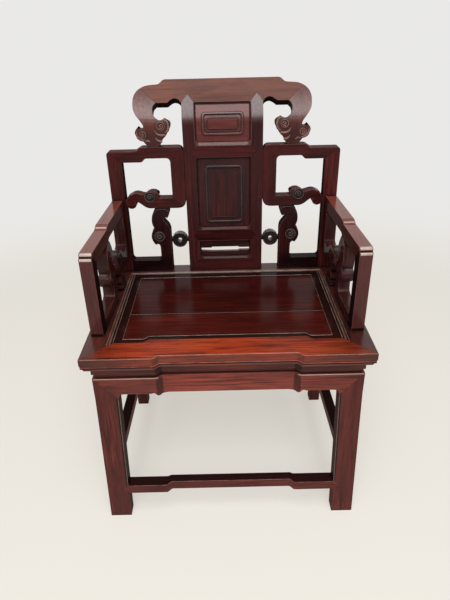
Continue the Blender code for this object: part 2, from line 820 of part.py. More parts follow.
def apron_end(end, leg_width, side):
    """The apron's sawn end over a leg, from its lower edge to its top corner."""
    inner = end - side * leg_width
    foot = apron_bottom - apron_corner_drop
    fillet = arc((inner - side * apron_corner_drop, foot), apron_corner_drop, 90, 0, fillet_steps)
    if side < 0:
        fillet = arc((inner - side * apron_corner_drop, foot), apron_corner_drop, 90, 180, fillet_steps)
    return fillet + [(end, apron_top)]


def front_apron_outline():
    shares = apron_nub_shares + [(0.0, apron_middle_drop / apron_nub_drop, True)]
    nub = smooth_line(shares, (recess_half_width - apron_nub_width / 2, apron_bottom),
                      (apron_nub_width, -apron_nub_drop))
    right = list(reversed(nub)) + apron_end(frame_half_width, front_leg_width, 1)
    left = [(-x, z) for x, z in reversed(right)]
    return right + left


def plain_apron_outline(start, end, start_width, end_width):
    line = apron_end(end, end_width, 1) + list(reversed(apron_end(start, start_width, -1)))
    return line


def make_aprons():
    far_y = leg_front_y + apron_thickness
    front = board("apron_front", [front_apron_outline()], "front",
                  leg_front_y - overrun, far_y + overrun)
    plan = strip_outline(frame_half_width + overrun, leg_front_y, far_y, front_recess, 0,
                         recess_half_width)
    keep_inside(front, board_tool("plan", [plan], "plan", apron_bottom - apron_height, seat_height))
    mitre_ends(front, frame_half_width, leg_front_y, 1)
    outline = plain_apron_outline(-frame_half_width, frame_half_width, rear_leg_width, rear_leg_width)
    rear = board("apron_rear", [outline], "front", leg_rear_y - apron_thickness, leg_rear_y)
    mitre_ends(rear, frame_half_width, leg_rear_y, -1)
    outline = plain_apron_outline(leg_front_y, leg_rear_y, front_leg_depth, rear_leg_depth)
    right = board("apron_right", [outline], "side", frame_half_width - apron_thickness, frame_half_width)
    mitre_side(right, frame_half_width, leg_front_y, leg_rear_y)
    return front, rear, right


# Legs and stretchers

def make_leg(name, low, high, splay):
    """A square leg, upright beside the aprons and splayed below them."""
    leg = box(name, low, high)
    knee = apron_bottom - apron_corner_drop
    shape = bmesh.new()
    shape.from_mesh(leg.data)
    everything = list(shape.verts) + list(shape.edges) + list(shape.faces)
    bmesh.ops.bisect_plane(shape, geom=everything, dist=plane_tolerance,
                           plane_co=(0, 0, knee), plane_no=(0, 0, 1))
    for vertex in shape.verts:
        if vertex.co.z < knee / 2:
            vertex.co.x += splay[0]
            vertex.co.y += splay[1]
    shape.to_mesh(leg.data)
    shape.free()
    return leg


def splay_at(full, height):
    knee = apron_bottom - apron_corner_drop
    return full * (1 - height / knee)


def cut_corner_room(leg, end, width, side, plane, low, high):
    """Makes room in a leg for the end of an apron and the waist above it."""
    edge = apron_end(end, width, side)
    rise = (apron_top - edge[-2][1]) / width
    outer = end + side * overrun
    inner = edge[0][0] - side * overrun
    above = seat_under + overrun
    outline = edge[:-1] + [(outer, apron_top + rise * overrun), (outer, above), (inner, above),
                           (inner, edge[0][1])]
    room = board_tool("room", [outline], plane, low, high)
    make_room(leg, room)
    drop(room)


def make_legs(rails):
    top = seat_under - fit_gap
    front_rail, rear_rail, side_rail = rails
    beside = frame_half_width - apron_thickness
    outside = frame_half_width + overrun
    front_leg = make_leg("leg_front_right", (frame_half_width - front_leg_width, leg_front_y, 0),
                         (frame_half_width, leg_front_y + front_leg_depth, top),
                         (front_leg_side_splay, -front_leg_front_splay))
    cut_corner_room(front_leg, frame_half_width, front_leg_width, 1, "front",
                    leg_front_y - overrun, leg_front_y + apron_thickness)
    cut_corner_room(front_leg, leg_front_y, front_leg_depth, -1, "side", beside, outside)
    rear_leg = make_leg("leg_rear_right",
                        (frame_half_width - rear_leg_width, leg_rear_y - rear_leg_depth, 0),
                        (frame_half_width, leg_rear_y, top), (0, rear_leg_rake))
    cut_corner_room(rear_leg, frame_half_width, rear_leg_width, 1, "front",
                    leg_rear_y - apron_thickness, leg_rear_y + overrun)
    cut_corner_room(rear_leg, leg_rear_y, rear_leg_depth, 1, "side", beside, outside)
    for leg, rail, width, depth, outer_y, inward in (
            (front_leg, front_rail, front_leg_width, front_leg_depth, leg_front_y, 1),
            (rear_leg, rear_rail, rear_leg_width, rear_leg_depth, leg_rear_y, -1)):
        core_width = width - apron_thickness - fit_gap
        core_depth = depth - apron_thickness - fit_gap
        middle_x = frame_half_width - width + core_width / 2
        middle_y = outer_y + inward * (depth - core_depth / 2)
        half_width = core_width * leg_tenon_share / 2
        half_depth = core_depth * leg_tenon_share / 2
        tenon(leg, rail, (middle_x - half_width, middle_y - half_depth, top - leg_tenon_length),
              (middle_x + half_width, middle_y + half_depth, top + leg_tenon_length), both_sides=True)
        make_room(side_rail, leg)
    return front_leg, rear_leg


def make_front_stretcher(front_leg):
    low = front_stretcher_top - front_stretcher_height
    middle_z = front_stretcher_top - front_stretcher_height / 2
    near_y = leg_front_y - splay_at(front_leg_front_splay, low) - fit_gap
    far_y = near_y + front_stretcher_depth
    inner_x = frame_half_width + splay_at(front_leg_side_splay, middle_z) - front_leg_width
    plan = strip_outline(inner_x + stretcher_point + overrun, near_y, far_y,
                         front_recess, front_recess / 2, recess_half_width)
    piece = board("stretcher_front", [plan], "plan", low, front_stretcher_top)
    piece["on_centre_line"] = True
    tip = inner_x + stretcher_point
    face = [(inner_x, low - overrun), (inner_x, low), (tip, middle_z), (inner_x, front_stretcher_top),
            (inner_x, front_stretcher_top + overrun)]
    outline = face + [(-x, z) for x, z in reversed(face)]
    keep_inside(piece, board_tool("point", [outline], "front", near_y - overrun, far_y + overrun))
    make_room(front_leg, piece)
    middle_y = (near_y + far_y) / 2
    tenon(piece, front_leg,
          (inner_x - stretcher_point, middle_y - stretcher_tenon_thickness / 2,
           middle_z - stretcher_tenon_height / 4),
          (tip + stretcher_tenon_length / 2, middle_y + stretcher_tenon_thickness / 2,
           middle_z + stretcher_tenon_height / 4), both_sides=True)
    return piece


def make_side_stretcher(front_leg, rear_leg):
    low = side_stretcher_top - stretcher_height
    middle_z = side_stretcher_top - stretcher_height / 2
    front_outer = frame_half_width + splay_at(front_leg_side_splay, middle_z) - stretcher_set_in
    rear_outer = frame_half_width - stretcher_set_in
    front_y = leg_front_y - splay_at(front_leg_front_splay, middle_z) + front_leg_depth
    rear_y = leg_rear_y + splay_at(rear_leg_rake, middle_z) - rear_leg_depth
    start_y = front_y - overrun
    end_y = rear_y + overrun
    plan = [(front_outer - side_stretcher_width, start_y), (front_outer, start_y),
            (rear_outer, end_y), (rear_outer - side_stretcher_width, end_y)]
    piece = board("stretcher_right", [plan], "plan", low, side_stretcher_top)
    for leg, outer, y in ((front_leg, front_outer, front_y), (rear_leg, rear_outer, rear_y)):
        make_room(piece, leg)
        middle_x = outer - side_stretcher_width / 2
        tenon(piece, leg,
              (middle_x - stretcher_tenon_thickness / 2, y - stretcher_tenon_length,
               middle_z - stretcher_tenon_height / 2),
              (middle_x + stretcher_tenon_thickness / 2, y + stretcher_tenon_length,
               middle_z + stretcher_tenon_height / 2))
    return piece


def make_rear_stretcher(rear_leg):
    low = rear_stretcher_top - stretcher_height
    middle_z = rear_stretcher_top - stretcher_height / 2
    leg_back = leg_rear_y + splay_at(rear_leg_rake, middle_z)
    middle_y = leg_back - rear_leg_depth / 2
    inner_x = frame_half_width - rear_leg_width
    piece = box("stretcher_rear",
                (-inner_x + fit_gap, middle_y - rear_stretcher_depth / 2, low),
                (inner_x - fit_gap, middle_y + rear_stretcher_depth / 2, rear_stretcher_top))
    piece["on_centre_line"] = True
    tenon(piece, rear_leg,
          (inner_x - stretcher_tenon_length, middle_y - stretcher_tenon_thickness / 2,
           middle_z - stretcher_tenon_height / 2),
          (inner_x + stretcher_tenon_length, middle_y + stretcher_tenon_thickness / 2,
           middle_z + stretcher_tenon_height / 2), both_sides=True)
    return piece


# Splat

def back_board(name, outlines):
    return board(name, outlines, "front", back_face_y, back_face_y + back_thickness)


def make_splat_stile():
    inner = splat_half_width - splat_stile_width
    middle = splat_half_width - splat_stile_width / 2
    outline = [(inner, on_seat), (splat_half_width, on_seat), (splat_half_width, crest_under),
               (middle, crest_under + stile_point), (inner, crest_under)]
    return back_board("splat_stile_right", [outline])


def pointed_rail(name, low, high):
    inner = splat_half_width - splat_stile_width
    middle = (low + high) / 2
    right = [(inner, low), (inner + rail_point, middle), (inner, high)]
    outline = right + [(-x, z) for x, z in reversed(right)]
    return back_board(name, [outline])


def make_splat_rails():
    upper = pointed_rail("splat_rail_upper", splat_rail_bottom, splat_rail_top)
    lower = pointed_rail("splat_rail_lower", splat_low_rail_bottom, splat_low_rail_top)
    inner = splat_half_width - splat_stile_width
    outline = [(-splat_half_width + fit_gap, on_seat), (splat_half_width - fit_gap, on_seat),
               (inner, splat_bottom_rail_top), (-inner, splat_bottom_rail_top)]
    bottom = back_board("splat_rail_bottom", [outline])
    return upper, lower, bottom


def panel_board(name, low, high):
    half = splat_half_width - splat_stile_width + splat_panel_tongue
    face = back_face_y + splat_panel_setback
    outline = [(-half, low - splat_panel_tongue), (half, low - splat_panel_tongue),
               (half, high + splat_panel_tongue), (-half, high + splat_panel_tongue)]
    return board(name, [outline], "front", face, face + splat_panel_thickness)


def raise_field(panel, centre_z, half_width, half_height):
    """A raised round-cornered band with a raised field inside it."""
    face = back_face_y + splat_panel_setback
    centre = (0, centre_z)
    outer = rounded_rectangle(centre, half_width, half_height, panel_corner_radius)
    inner_radius = panel_corner_radius - ring_band / 2
    inner = rounded_rectangle(centre, half_width - ring_band, half_height - ring_band, inner_radius)
    join(panel, board_tool("band", [outer, inner], "front", face - panel_raise, face + raised_root))
    field = rounded_rectangle(centre, half_width - field_inset, half_height - field_inset, inner_radius)
    join(panel, board_tool("field", [field], "front", face - panel_raise, face + raised_root))


def make_splat_panels():
    top = panel_board("splat_panel_top", splat_rail_top, crest_under)
    middle = panel_board("splat_panel_middle", splat_low_rail_top, splat_rail_bottom)
    bottom = panel_board("splat_panel_bottom", splat_bottom_rail_top, splat_low_rail_bottom)
    return top, middle, bottom


def dress_splat_panels(top, middle, bottom):
    raise_field(top, (splat_rail_top + crest_under) / 2, top_ring_half_width, top_ring_half_height)
    raise_field(middle, (splat_low_rail_top + splat_rail_bottom) / 2,
                middle_ring_half_width, middle_ring_half_height)
    slot_z = (splat_bottom_rail_top + splat_low_rail_bottom) / 2
    right = [(slot_half_length, slot_z - slot_narrow_half_height),
             (slot_half_length, slot_z + slot_narrow_half_height),
             (slot_wide_half_length, slot_z + slot_narrow_half_height),
             (slot_wide_half_length, slot_z + slot_wide_half_height)]
    left = [(-x, z) for x, z in reversed(right[:-1])]
    left.append((-slot_wide_half_length, slot_z - slot_wide_half_height))
    outline = (right + [(-slot_wide_half_length, slot_z + slot_wide_half_height)] + left
               + [(slot_wide_half_length, slot_z - slot_wide_half_height),
                  (slot_wide_half_length, slot_z - slot_narrow_half_height)])
    face = back_face_y + splat_panel_setback
    cut(bottom, board_tool("slot", [outline], "front", face - overrun,
                           face + splat_panel_thickness + overrun))


# Crest

def crest_outline():
    width = crest_end_outer - crest_end_inner
    foot = ear_top + ear_step_rise + fit_gap
    shoulder = crest_top - crest_shoulder_drop
    step = s_step((crest_flat_half_width, crest_top), (crest_flat_half_width + crest_step_width, shoulder))
    end = smooth_line(crest_end_shares, (crest_end_inner, foot), (width, shoulder - foot))
    arch_width = crest_mitre_inner - splat_half_width
    arch = smooth_line(crest_arch_shares, (splat_half_width, crest_under), (arch_width, crest_arch_rise))
    right = step + end + [(crest_mitre_inner, crest_under)] + arch
    left = [(-x, z) for x, z in reversed(right)]
    return right + left


def make_crest():
    rail = back_board("crest_rail", [crest_outline()])
    corner = Vector((crest_mitre_inner, back_face_y, crest_under))
    end = split(rail, "crest_end_right", corner, (1, 0, 1))
    mirrored_corner = Vector((-crest_mitre_inner, back_face_y, crest_under))
    trim(rail, mirrored_corner + Vector((fit_gap / 2, 0, fit_gap / 2)), Vector((-1, 0, -1)).normalized())
    rail["on_centre_line"] = True
    shoulder = crest_top - crest_shoulder_drop
    half_height = (shoulder - crest_under) / 2
    middle = corner + Vector((half_height, back_thickness / 2, half_height))
    middle.x -= crest_tenon_length / 4
    middle.z -= crest_tenon_length / 4
    tenon(rail, end,
          (middle.x - crest_tenon_length / 2, middle.y - joint_tenon_thickness / 2,
           middle.z - joint_tenon_width / 2),
          (middle.x + crest_tenon_length / 2, middle.y + joint_tenon_thickness / 2,
           middle.z + joint_tenon_width / 2), both_sides=True)
    return rail, end


def assemble_splat(crest, stile, rails, panels):
    """Lets the rails into the stiles, the stiles into the crest and the panels into both."""
    middle_x = splat_half_width - splat_stile_width / 2
    tenon(stile, crest,
          (middle_x - joint_tenon_width / 3, back_middle_y - joint_tenon_thickness / 2, crest_under),
          (middle_x + joint_tenon_width / 3, back_middle_y + joint_tenon_thickness / 2,
           crest_under + stile_point + joint_tenon_length / 2), both_sides=True)
    make_room(crest, stile, both_sides=True)
    for rail in rails:
        make_room(stile, rail)
    for panel in panels:
        for host in (crest, stile) + tuple(rails):
            make_room(host, panel)


# Side frames of the back

def ear_levels():
    raised_top = ear_top + ear_step_rise
    raised_under = raised_top - ear_rail_height - fit_gap
    return raised_top, raised_under, ear_inner + ear_upright_width


def ear_fillet():
    raised_top, raised_under, opening_inner = ear_levels()
    return arc((opening_inner + opening_corner_radius, raised_under - opening_corner_radius),
               opening_corner_radius, 90, 180, fillet_steps)


def ear_rail_outline():
    """Top rail of a side frame, with the step in its upper and lower edges."""
    raised_top, raised_under, opening_inner = ear_levels()
    length = back_half_width - ear_inner
    under = ear_top - ear_rail_height
    top_line = s_step((ear_inner + length * ear_step_start_share, raised_top),
                      (ear_inner + length * ear_step_end_share, ear_top))
    under_line = s_step((ear_inner + length * ear_under_step_end_share, under),
                        (ear_inner + length * ear_under_step_start_share, raised_under))
    fillet = ear_fillet()
    return ([(ear_inner, raised_top)] + top_line
            + [(back_half_width, ear_top), (back_half_width - back_member, under)]
            + under_line + fillet + [(ear_inner, fillet[-1][1])])


def ear_upright_outline():
    raised_top, raised_under, opening_inner = ear_levels()
    fillet = ear_fillet()
    return ([(ear_inner, ear_bottom), (opening_inner, ear_bottom)] + list(reversed(fillet))
            + [(fillet[0][0], raised_top), (ear_inner, raised_top)])


def ear_bar_outline():
    """Lower bar of a side frame, which curls up into a scroll before the outer stile."""
    bar_top = ear_bottom + ear_bar_height
    bar_box = back_half_width - back_member - fit_gap - scroll_bar_start
    bar = smooth_line(scroll_bar_shares, (scroll_bar_start, ear_bottom), (bar_box, scroll_bar_height))
    return [(ear_inner, ear_bottom), (ear_inner, bar_top), (scroll_bar_start, bar_top)] + bar


def make_ear():
    raised_top, raised_under, opening_inner = ear_levels()
    far_y = back_face_y + back_thickness
    kerf = fit_gap / 2
    rail = back_board("ear_rail_right", [ear_rail_outline()])
    upright = back_board("ear_upright_right", [ear_upright_outline()])
    bar = back_board("ear_scroll_right", [ear_bar_outline()])
    top_corner = Vector((ear_inner, 0, raised_top))
    top_normal = Vector((raised_top - raised_under, 0, ear_upright_width)).normalized()
    trim(upright, top_corner - top_normal * kerf, top_normal)
    trim(rail, top_corner + top_normal * kerf, -top_normal)
    low_corner = Vector((ear_inner, 0, ear_bottom))
    low_normal = Vector((ear_bar_height, 0, -ear_upright_width)).normalized()
    trim(upright, low_corner - low_normal * kerf, low_normal)
    trim(bar, low_corner + low_normal * kerf, -low_normal)
    for piece in (rail, upright):
        round_corner(piece, (ear_inner, raised_top), ear_corner_radius, 1, "front", back_face_y, far_y)
    for piece in (upright, bar):
        round_corner(piece, (ear_inner, ear_bottom), ear_low_corner_radius, 2, "front", back_face_y, far_y)
    middle_x = ear_inner + ear_upright_width / 2
    top_z = (raised_top + raised_under) / 2
    tenon(rail, upright,
          (middle_x - joint_tenon_width / 2, back_middle_y - joint_tenon_thickness / 2,
           top_z - joint_tenon_length),
          (middle_x + joint_tenon_width / 2, back_middle_y + joint_tenon_thickness / 2, top_z))
    low_z = ear_bottom + ear_bar_height / 2
    tenon(bar, upright,
          (middle_x - joint_tenon_width / 2, back_middle_y - joint_tenon_thickness / 2, low_z),
          (middle_x + joint_tenon_width / 2, back_middle_y + joint_tenon_thickness / 2,
           low_z + joint_tenon_length))
    return rail, upright, bar


def make_outer_stile(ear_rail, ear_bar):
    inner = back_half_width - back_member
    under = ear_top - ear_rail_height
    outline = [(inner, on_seat), (back_half_width, on_seat), (back_half_width, ear_top), (inner, under)]
    stile = back_board("back_stile_right", [outline])
    make_room(stile, ear_rail)
    for piece in (stile, ear_rail):
        round_corner(piece, (back_half_width, ear_top), outer_corner_radius, 0, "front",
                     back_face_y, back_face_y + back_thickness)
    middle_x = back_half_width - back_member / 2
    middle_z = (ear_top + under) / 2
    tenon(ear_rail, stile,
          (middle_x - joint_tenon_width / 2, back_middle_y - joint_tenon_thickness / 2,
           middle_z - joint_tenon_length),
          (middle_x + joint_tenon_width / 2, back_middle_y + joint_tenon_thickness / 2, middle_z))
    tip_z = ear_bottom + scroll_bar_height * scroll_tip_share
    half_height = scroll_bar_height * scroll_tip_half_share
    tenon(ear_bar, stile,
          (inner - joint_tenon_length / 2, back_middle_y - joint_tenon_thickness / 2, tip_z - half_height),
          (inner + joint_tenon_length / 2, back_middle_y + joint_tenon_thickness / 2, tip_z + half_height))
    return stile


def base_and_scroll(shares, upright_width, reach, length, base_height, top, radius):
    """Base rail and upright scroll in one outline, from the scroll's plain edge outward."""
    level = on_seat + base_height
    scroll = smooth_line(shares, (0, level), (reach, top - level))
    fillet = arc((upright_width + radius, level + radius), radius, 270, 180, fillet_steps)
    rise = arc((length - inner_fillet, level + inner_fillet), inner_fillet, 0, -90, fillet_steps)
    return [(0, on_seat), (length, on_seat)] + rise + fillet + scroll


def make_low_frame(outer_stile, ear_bar):
    inner = back_half_width - back_member
    length = inner - fit_gap - low_frame_inner
    flat = base_and_scroll(upright_scroll_shares, low_frame_upright_width, low_frame_reach,
                           length, base_rail_height, ear_bottom - fit_gap, inner_fillet)
    outline = [(low_frame_inner + along, up) for along, up in flat]
    scroll = back_board("low_scroll_right", [outline])
    corner = Vector((low_frame_inner, 0, on_seat))
    base = split(scroll, "base_rail_right", corner, (low_frame_upright_width, 0, base_rail_height))
    middle_x = low_frame_inner + low_frame_upright_width / 2
    middle_z = on_seat + base_rail_height / 2
    tenon(base, scroll,
          (middle_x - joint_tenon_width / 2, back_middle_y - joint_tenon_thickness / 2, middle_z),
          (middle_x + joint_tenon_width / 2, back_middle_y + joint_tenon_thickness / 2,
           middle_z + joint_tenon_length))
    tenon(base, outer_stile,
          (inner - joint_tenon_length, back_middle_y - joint_tenon_thickness / 2,
           middle_z - joint_tenon_width / 2),
          (inner + joint_tenon_length, back_middle_y + joint_tenon_thickness / 2,
           middle_z + joint_tenon_width / 2))
    head_x = low_frame_inner + low_frame_reach * scroll_head_share
    tenon(scroll, ear_bar,
          (head_x - joint_tenon_width / 2, back_middle_y - joint_tenon_thickness / 2,
           ear_bottom - joint_tenon_length),
          (head_x + joint_tenon_width / 2, back_middle_y + joint_tenon_thickness / 2,
           ear_bottom + joint_tenon_length / 2))
    return base, scroll


def make_disc(splat_stile, low_scroll):
    """A pierced disc held on two short necks between the splat and the scroll."""
    middle_x = (splat_half_width + low_frame_inner) / 2
    half_gap = (low_frame_inner - splat_half_width) / 2
    ring = [arc((middle_x, disc_height), disc_radius, 0, 360 - 360 / disc_steps, disc_steps - 1),
            arc((middle_x, disc_height), disc_hole_radius, 0, 360 - 360 / disc_hole_steps,
                disc_hole_steps - 1)]
    disc = board("disc_right", ring, "front", back_middle_y - disc_thickness / 2,
                 back_middle_y + disc_thickness / 2)
    half_neck = disc_neck_width / 2
    half_tenon = joint_tenon_thickness / 2
    for side, host in ((-1, splat_stile), (1, low_scroll)):
        root = middle_x + side * (disc_radius + disc_hole_radius) / 2
        edge = middle_x + side * (half_gap - fit_gap)
        deep = middle_x + side * (half_gap + joint_tenon_length / 2)
        neck = box_mesh("neck", (min(root, edge), back_middle_y - half_neck, disc_height - half_neck),
                        (max(root, edge), back_middle_y + half_neck, disc_height + half_neck))
        join(disc, tool_object("neck", neck))
        tenon(disc, host, (min(root, deep), back_middle_y - half_tenon, disc_height - half_tenon),
              (max(root, deep), back_middle_y + half_tenon, disc_height + half_tenon))
    return disc


# Arms, drawn with their outer face on the outer face of the back stile, then turned

def arm_board(name, outline):
    return board(name, [outline], "side", back_half_width - arm_thickness, back_half_width)


def turn_out(piece):
    pivot = Vector((back_half_width, back_face_y, 0))
    turn = Matrix.Translation(pivot) @ Matrix.Rotation(arm_flare, 4, "Z") @ Matrix.Translation(-pivot)
    piece.data.transform(turn)


def arm_frame_outline():
    """Post and handrail, with the rail's rear end running past the mitre of its upright."""
    front = front_edge_y + arm_front_setback
    rear = back_face_y + overrun / 2
    post_back = front + arm_post_depth
    upright_front = back_face_y - arm_upright_depth
    step_y = front_edge_y + arm_step_start
    step_end = step_y + arm_step_length
    front_under = arm_front_top - arm_rail_height
    rear_under = arm_rear_top - arm_rail_height
    corner = smooth_line(arm_corner_shares, (front, arm_front_top - arm_corner_drop),
                         (arm_corner_depth, arm_corner_drop))
    top_step = s_step((step_y, arm_front_top), (step_end, arm_rear_top))
    under_step = s_step((step_end, rear_under), (step_y, front_under))
    front_fillet = arc((post_back + inner_fillet, front_under - inner_fillet), inner_fillet,
                       90, 180, fillet_steps)
    rear_fillet = arc((upright_front - inner_fillet, rear_under - inner_fillet), inner_fillet,
                      0, 90, fillet_steps)
    return ([(front, on_seat)] + corner + top_step
            + [(rear, arm_rear_top), (rear, rear_fillet[0][1])] + rear_fillet
            + under_step + front_fillet + [(post_back, on_seat)])


def arm_upright_outline():
    rear = back_face_y + overrun / 2
    upright_front = back_face_y - arm_upright_depth
    rear_under = arm_rear_top - arm_rail_height
    middle = upright_front - inner_fillet
    upper = arc((middle, rear_under - inner_fillet), inner_fillet, 90, 0, fillet_steps)
    lower = arc((middle, arm_bar_top + inner_fillet), inner_fillet, 0, -90, fillet_steps)
    return ([(rear, arm_bar_bottom), (rear, arm_rear_top), (middle, arm_rear_top)] + upper + lower
            + [(middle, arm_bar_bottom)])


def arm_cloud_outline(nose):
    """The bar at the foot of the rear upright, curling into a cloud that stands on the seat."""
    rear = back_face_y + overrun / 2
    upright_front = back_face_y - arm_upright_depth
    middle = upright_front - inner_fillet
    lower = arc((middle, arm_bar_top + inner_fillet), inner_fillet, 0, -90, fillet_steps)
    bar_bottom_share = (arm_bar_bottom - on_seat) / cloud_height
    bar_top_share = (arm_bar_top - on_seat) / cloud_height
    length = upright_front - nose
    start = (inner_fillet / length, bar_top_share, True)
    end = (bar_under_share, bar_bottom_share, True)
    points = smooth_line([start] + cloud_shares + [end], (0, on_seat), (length, cloud_height))
    cloud = [(upright_front - along, up) for along, up in points]
    return [(rear, arm_bar_bottom), (rear, lower[0][1])] + lower[:-1] + cloud


def make_arm_back(rail, nose):
    """Upright against the back stile and the cloud bar at its foot, mitred to each other."""
    kerf = fit_gap / 2
    upright_front = back_face_y - arm_upright_depth
    upright = arm_board("arm_upright_right", arm_upright_outline())
    cloud = arm_board("arm_cloud_right", arm_cloud_outline(nose))
    top_corner = Vector((0, back_face_y, arm_rear_top))
    top_normal = Vector((0, -arm_rail_height, arm_upright_depth)).normalized()
    trim(upright, top_corner - top_normal * kerf, top_normal)
    trim(rail, top_corner + top_normal * kerf, -top_normal)
    low_corner = Vector((0, back_face_y, arm_bar_bottom))
    low_normal = Vector((0, arm_bar_bottom - arm_bar_top, -arm_upright_depth)).normalized()
    trim(upright, low_corner - low_normal * kerf, low_normal)
    trim(cloud, low_corner + low_normal * kerf, -low_normal)
    for piece in (upright, cloud):
        round_corner(piece, (back_face_y, arm_bar_bottom), arm_low_corner_radius, 3, "side",
                     back_half_width - arm_thickness, back_half_width)
    middle_x = back_half_width - arm_thickness / 2
    half_thick = joint_tenon_thickness / 2
    middle_y = (upright_front + back_face_y) / 2
    for owner, z, toward in ((rail, arm_rear_top - arm_rail_height / 2, -1),
                             (cloud, (arm_bar_top + arm_bar_bottom) / 2, 1)):
        ends = sorted((z, z + toward * joint_tenon_length))
        tenon(owner, upright, (middle_x - half_thick, middle_y - joint_tenon_width / 2, ends[0]),
              (middle_x + half_thick, middle_y + joint_tenon_width / 2, ends[1]))
    return upright, cloud


def make_arm(side_rail, outer_stile):
    front = front_edge_y + arm_front_setback
    post_back = front + arm_post_depth
    middle_x = back_half_width - arm_thickness / 2
    half_thick = joint_tenon_thickness / 2
    rail = arm_board("arm_rail_right", arm_frame_outline())
    post = split(rail, "arm_post_right", Vector((0, front, arm_front_top)),
                 (0, arm_post_depth, -arm_rail_height))
    middle_y = (front + post_back) / 2
    middle_z = arm_front_top - arm_rail_height / 2
    tenon(post, rail,
          (middle_x - half_thick, middle_y - joint_tenon_width / 2, middle_z - joint_tenon_length),
          (middle_x + half_thick, middle_y + joint_tenon_width / 2, middle_z + joint_tenon_length / 4))

    scroll_rear = front_edge_y + arm_scroll_setback
    length = scroll_rear - post_back - fit_gap
    front_under = arm_front_top - arm_rail_height
    flat = base_and_scroll(arm_scroll_shares, arm_scroll_width, arm_scroll_reach, length,
                           arm_base_height, front_under - fit_gap, arm_foot_fillet)
    outline = [(scroll_rear - along, up) for along, up in flat]
    base = arm_board("arm_base_right", outline)
    scroll = split(base, "arm_scroll_right", Vector((0, scroll_rear, on_seat)),
                   (0, -arm_scroll_width, arm_base_height))
    base_z = on_seat + arm_base_height / 2
    upright_y = scroll_rear - arm_scroll_width / 2
    tenon(base, scroll, (middle_x - half_thick, upright_y - joint_tenon_width / 2, base_z),
          (middle_x + half_thick, upright_y + joint_tenon_width / 2, base_z + joint_tenon_length))
    tenon(base, post,
          (middle_x - half_thick, post_back - joint_tenon_length, base_z - joint_tenon_width / 2),
          (middle_x + half_thick, post_back + joint_tenon_length, base_z + joint_tenon_width / 2))
    head_y = scroll_rear - arm_scroll_reach * arm_head_share
    tenon(scroll, rail,
          (middle_x - half_thick, head_y - joint_tenon_width / 2, front_under - joint_tenon_length),
          (middle_x + half_thick, head_y + joint_tenon_width / 2, front_under + joint_tenon_length))

    upright, cloud = make_arm_back(rail, scroll_rear + 2 * fit_gap)
    for piece in (rail, post, base, scroll, upright, cloud):
        turn_out(piece)
    for piece in (rail, upright, cloud):
        make_room(piece, outer_stile)
    upper_z = (arm_rear_top + arm_bar_top) / 2
    lower_z = arm_bar_top
    for z in (upper_z, lower_z):
        tenon(upright, outer_stile,
              (middle_x - half_thick, back_face_y - joint_tenon_length / 2, z - joint_tenon_width / 2),
              (middle_x + half_thick, back_face_y + joint_tenon_length, z + joint_tenon_width / 2))
    foot_slope = math.tan(arm_flare)
    upright_front = back_face_y - arm_upright_depth
    cloud_y = upright_front - (upright_front - scroll_rear) * cloud_foot_share
    for piece, y in ((post, middle_y), (cloud, cloud_y)):
        foot_x = middle_x + (back_face_y - y) * foot_slope
        tenon(piece, side_rail,
              (foot_x - foot_tenon_thickness / 2, y - foot_tenon_width / 2,
               seat_height - foot_tenon_length),
              (foot_x + foot_tenon_thickness / 2, y + foot_tenon_width / 2,
               on_seat + raised_root))
    return rail, post, base, scroll, upright, cloud


def seat_back_on_frame(rails, outer_stile, bottom_rail):
    """Stands the back on the seat frame by tenons in its outer stiles and its bottom rail."""
    rear_rail, side_rail = rails[1], rails[2]
    middle_x = back_half_width - back_member / 2
    low = (middle_x - foot_tenon_width / 2, back_middle_y - foot_tenon_thickness / 2,
           seat_height - foot_tenon_length)
    high = (middle_x + foot_tenon_width / 2, back_middle_y + foot_tenon_thickness / 2,
            on_seat + raised_root)
    tenon(outer_stile, rear_rail, low, high, both_sides=True)
    make_room(side_rail, outer_stile)
    tenon(bottom_rail, rear_rail,
          (-splat_tenon_half_width, back_middle_y - foot_tenon_thickness / 2,
           seat_height - foot_tenon_length),
          (splat_tenon_half_width, back_middle_y + foot_tenon_thickness / 2,
           on_seat + raised_root))


def rest_crest_on_ears(crest_end, ear_rail):
    middle_x = (crest_end_inner + crest_end_outer) / 2
    top = ear_top + ear_step_rise
    tenon(crest_end, ear_rail,
          (middle_x - joint_tenon_width / 2, back_middle_y - joint_tenon_thickness / 2,
           top - joint_tenon_length / 2),
          (middle_x + joint_tenon_width / 2, back_middle_y + joint_tenon_thickness / 2,
           top + joint_tenon_length))


# Finish

wood_tones = {
    "seat": (0.165, 0.036, 0.022),
    "underframe": (0.125, 0.032, 0.026),
    "back": (0.105, 0.026, 0.024),
    "crest": (0.150, 0.052, 0.040),
    "arm": (0.130, 0.036, 0.032),
}
name_groups = {
    "seat_": "seat", "waist": "seat", "apron": "underframe", "leg": "underframe",
    "stretcher": "underframe", "crest": "crest", "arm": "arm",
}
tone_swing = 0.06               # how much lighter or darker one piece is than the next
tone_turn = 2.4
polish_roughness = 0.32


def paint(piece):
    """A polished wood of its own for each piece, a little lighter or darker by its place."""
    tone = "back"
    for start, group in name_groups.items():
        if piece.name.startswith(start):
            tone = group
    count = len(bpy.data.materials)
    shade = 1 + tone_swing * math.sin(tone_turn * count)
    material = bpy.data.materials.new(piece.name + "_wood")
    material.use_nodes = True
    shader = material.node_tree.nodes["Principled BSDF"]
    colour = [channel * shade for channel in wood_tones[tone]]
    shader.inputs["Base Color"].default_value = (colour[0], colour[1], colour[2], 1)
    shader.inputs["Roughness"].default_value = polish_roughness
    shader.inputs["Metallic"].default_value = 0.0
    material.diffuse_color = (colour[0], colour[1], colour[2], 1)
    piece.data.materials.clear()
    piece.data.materials.append(material)


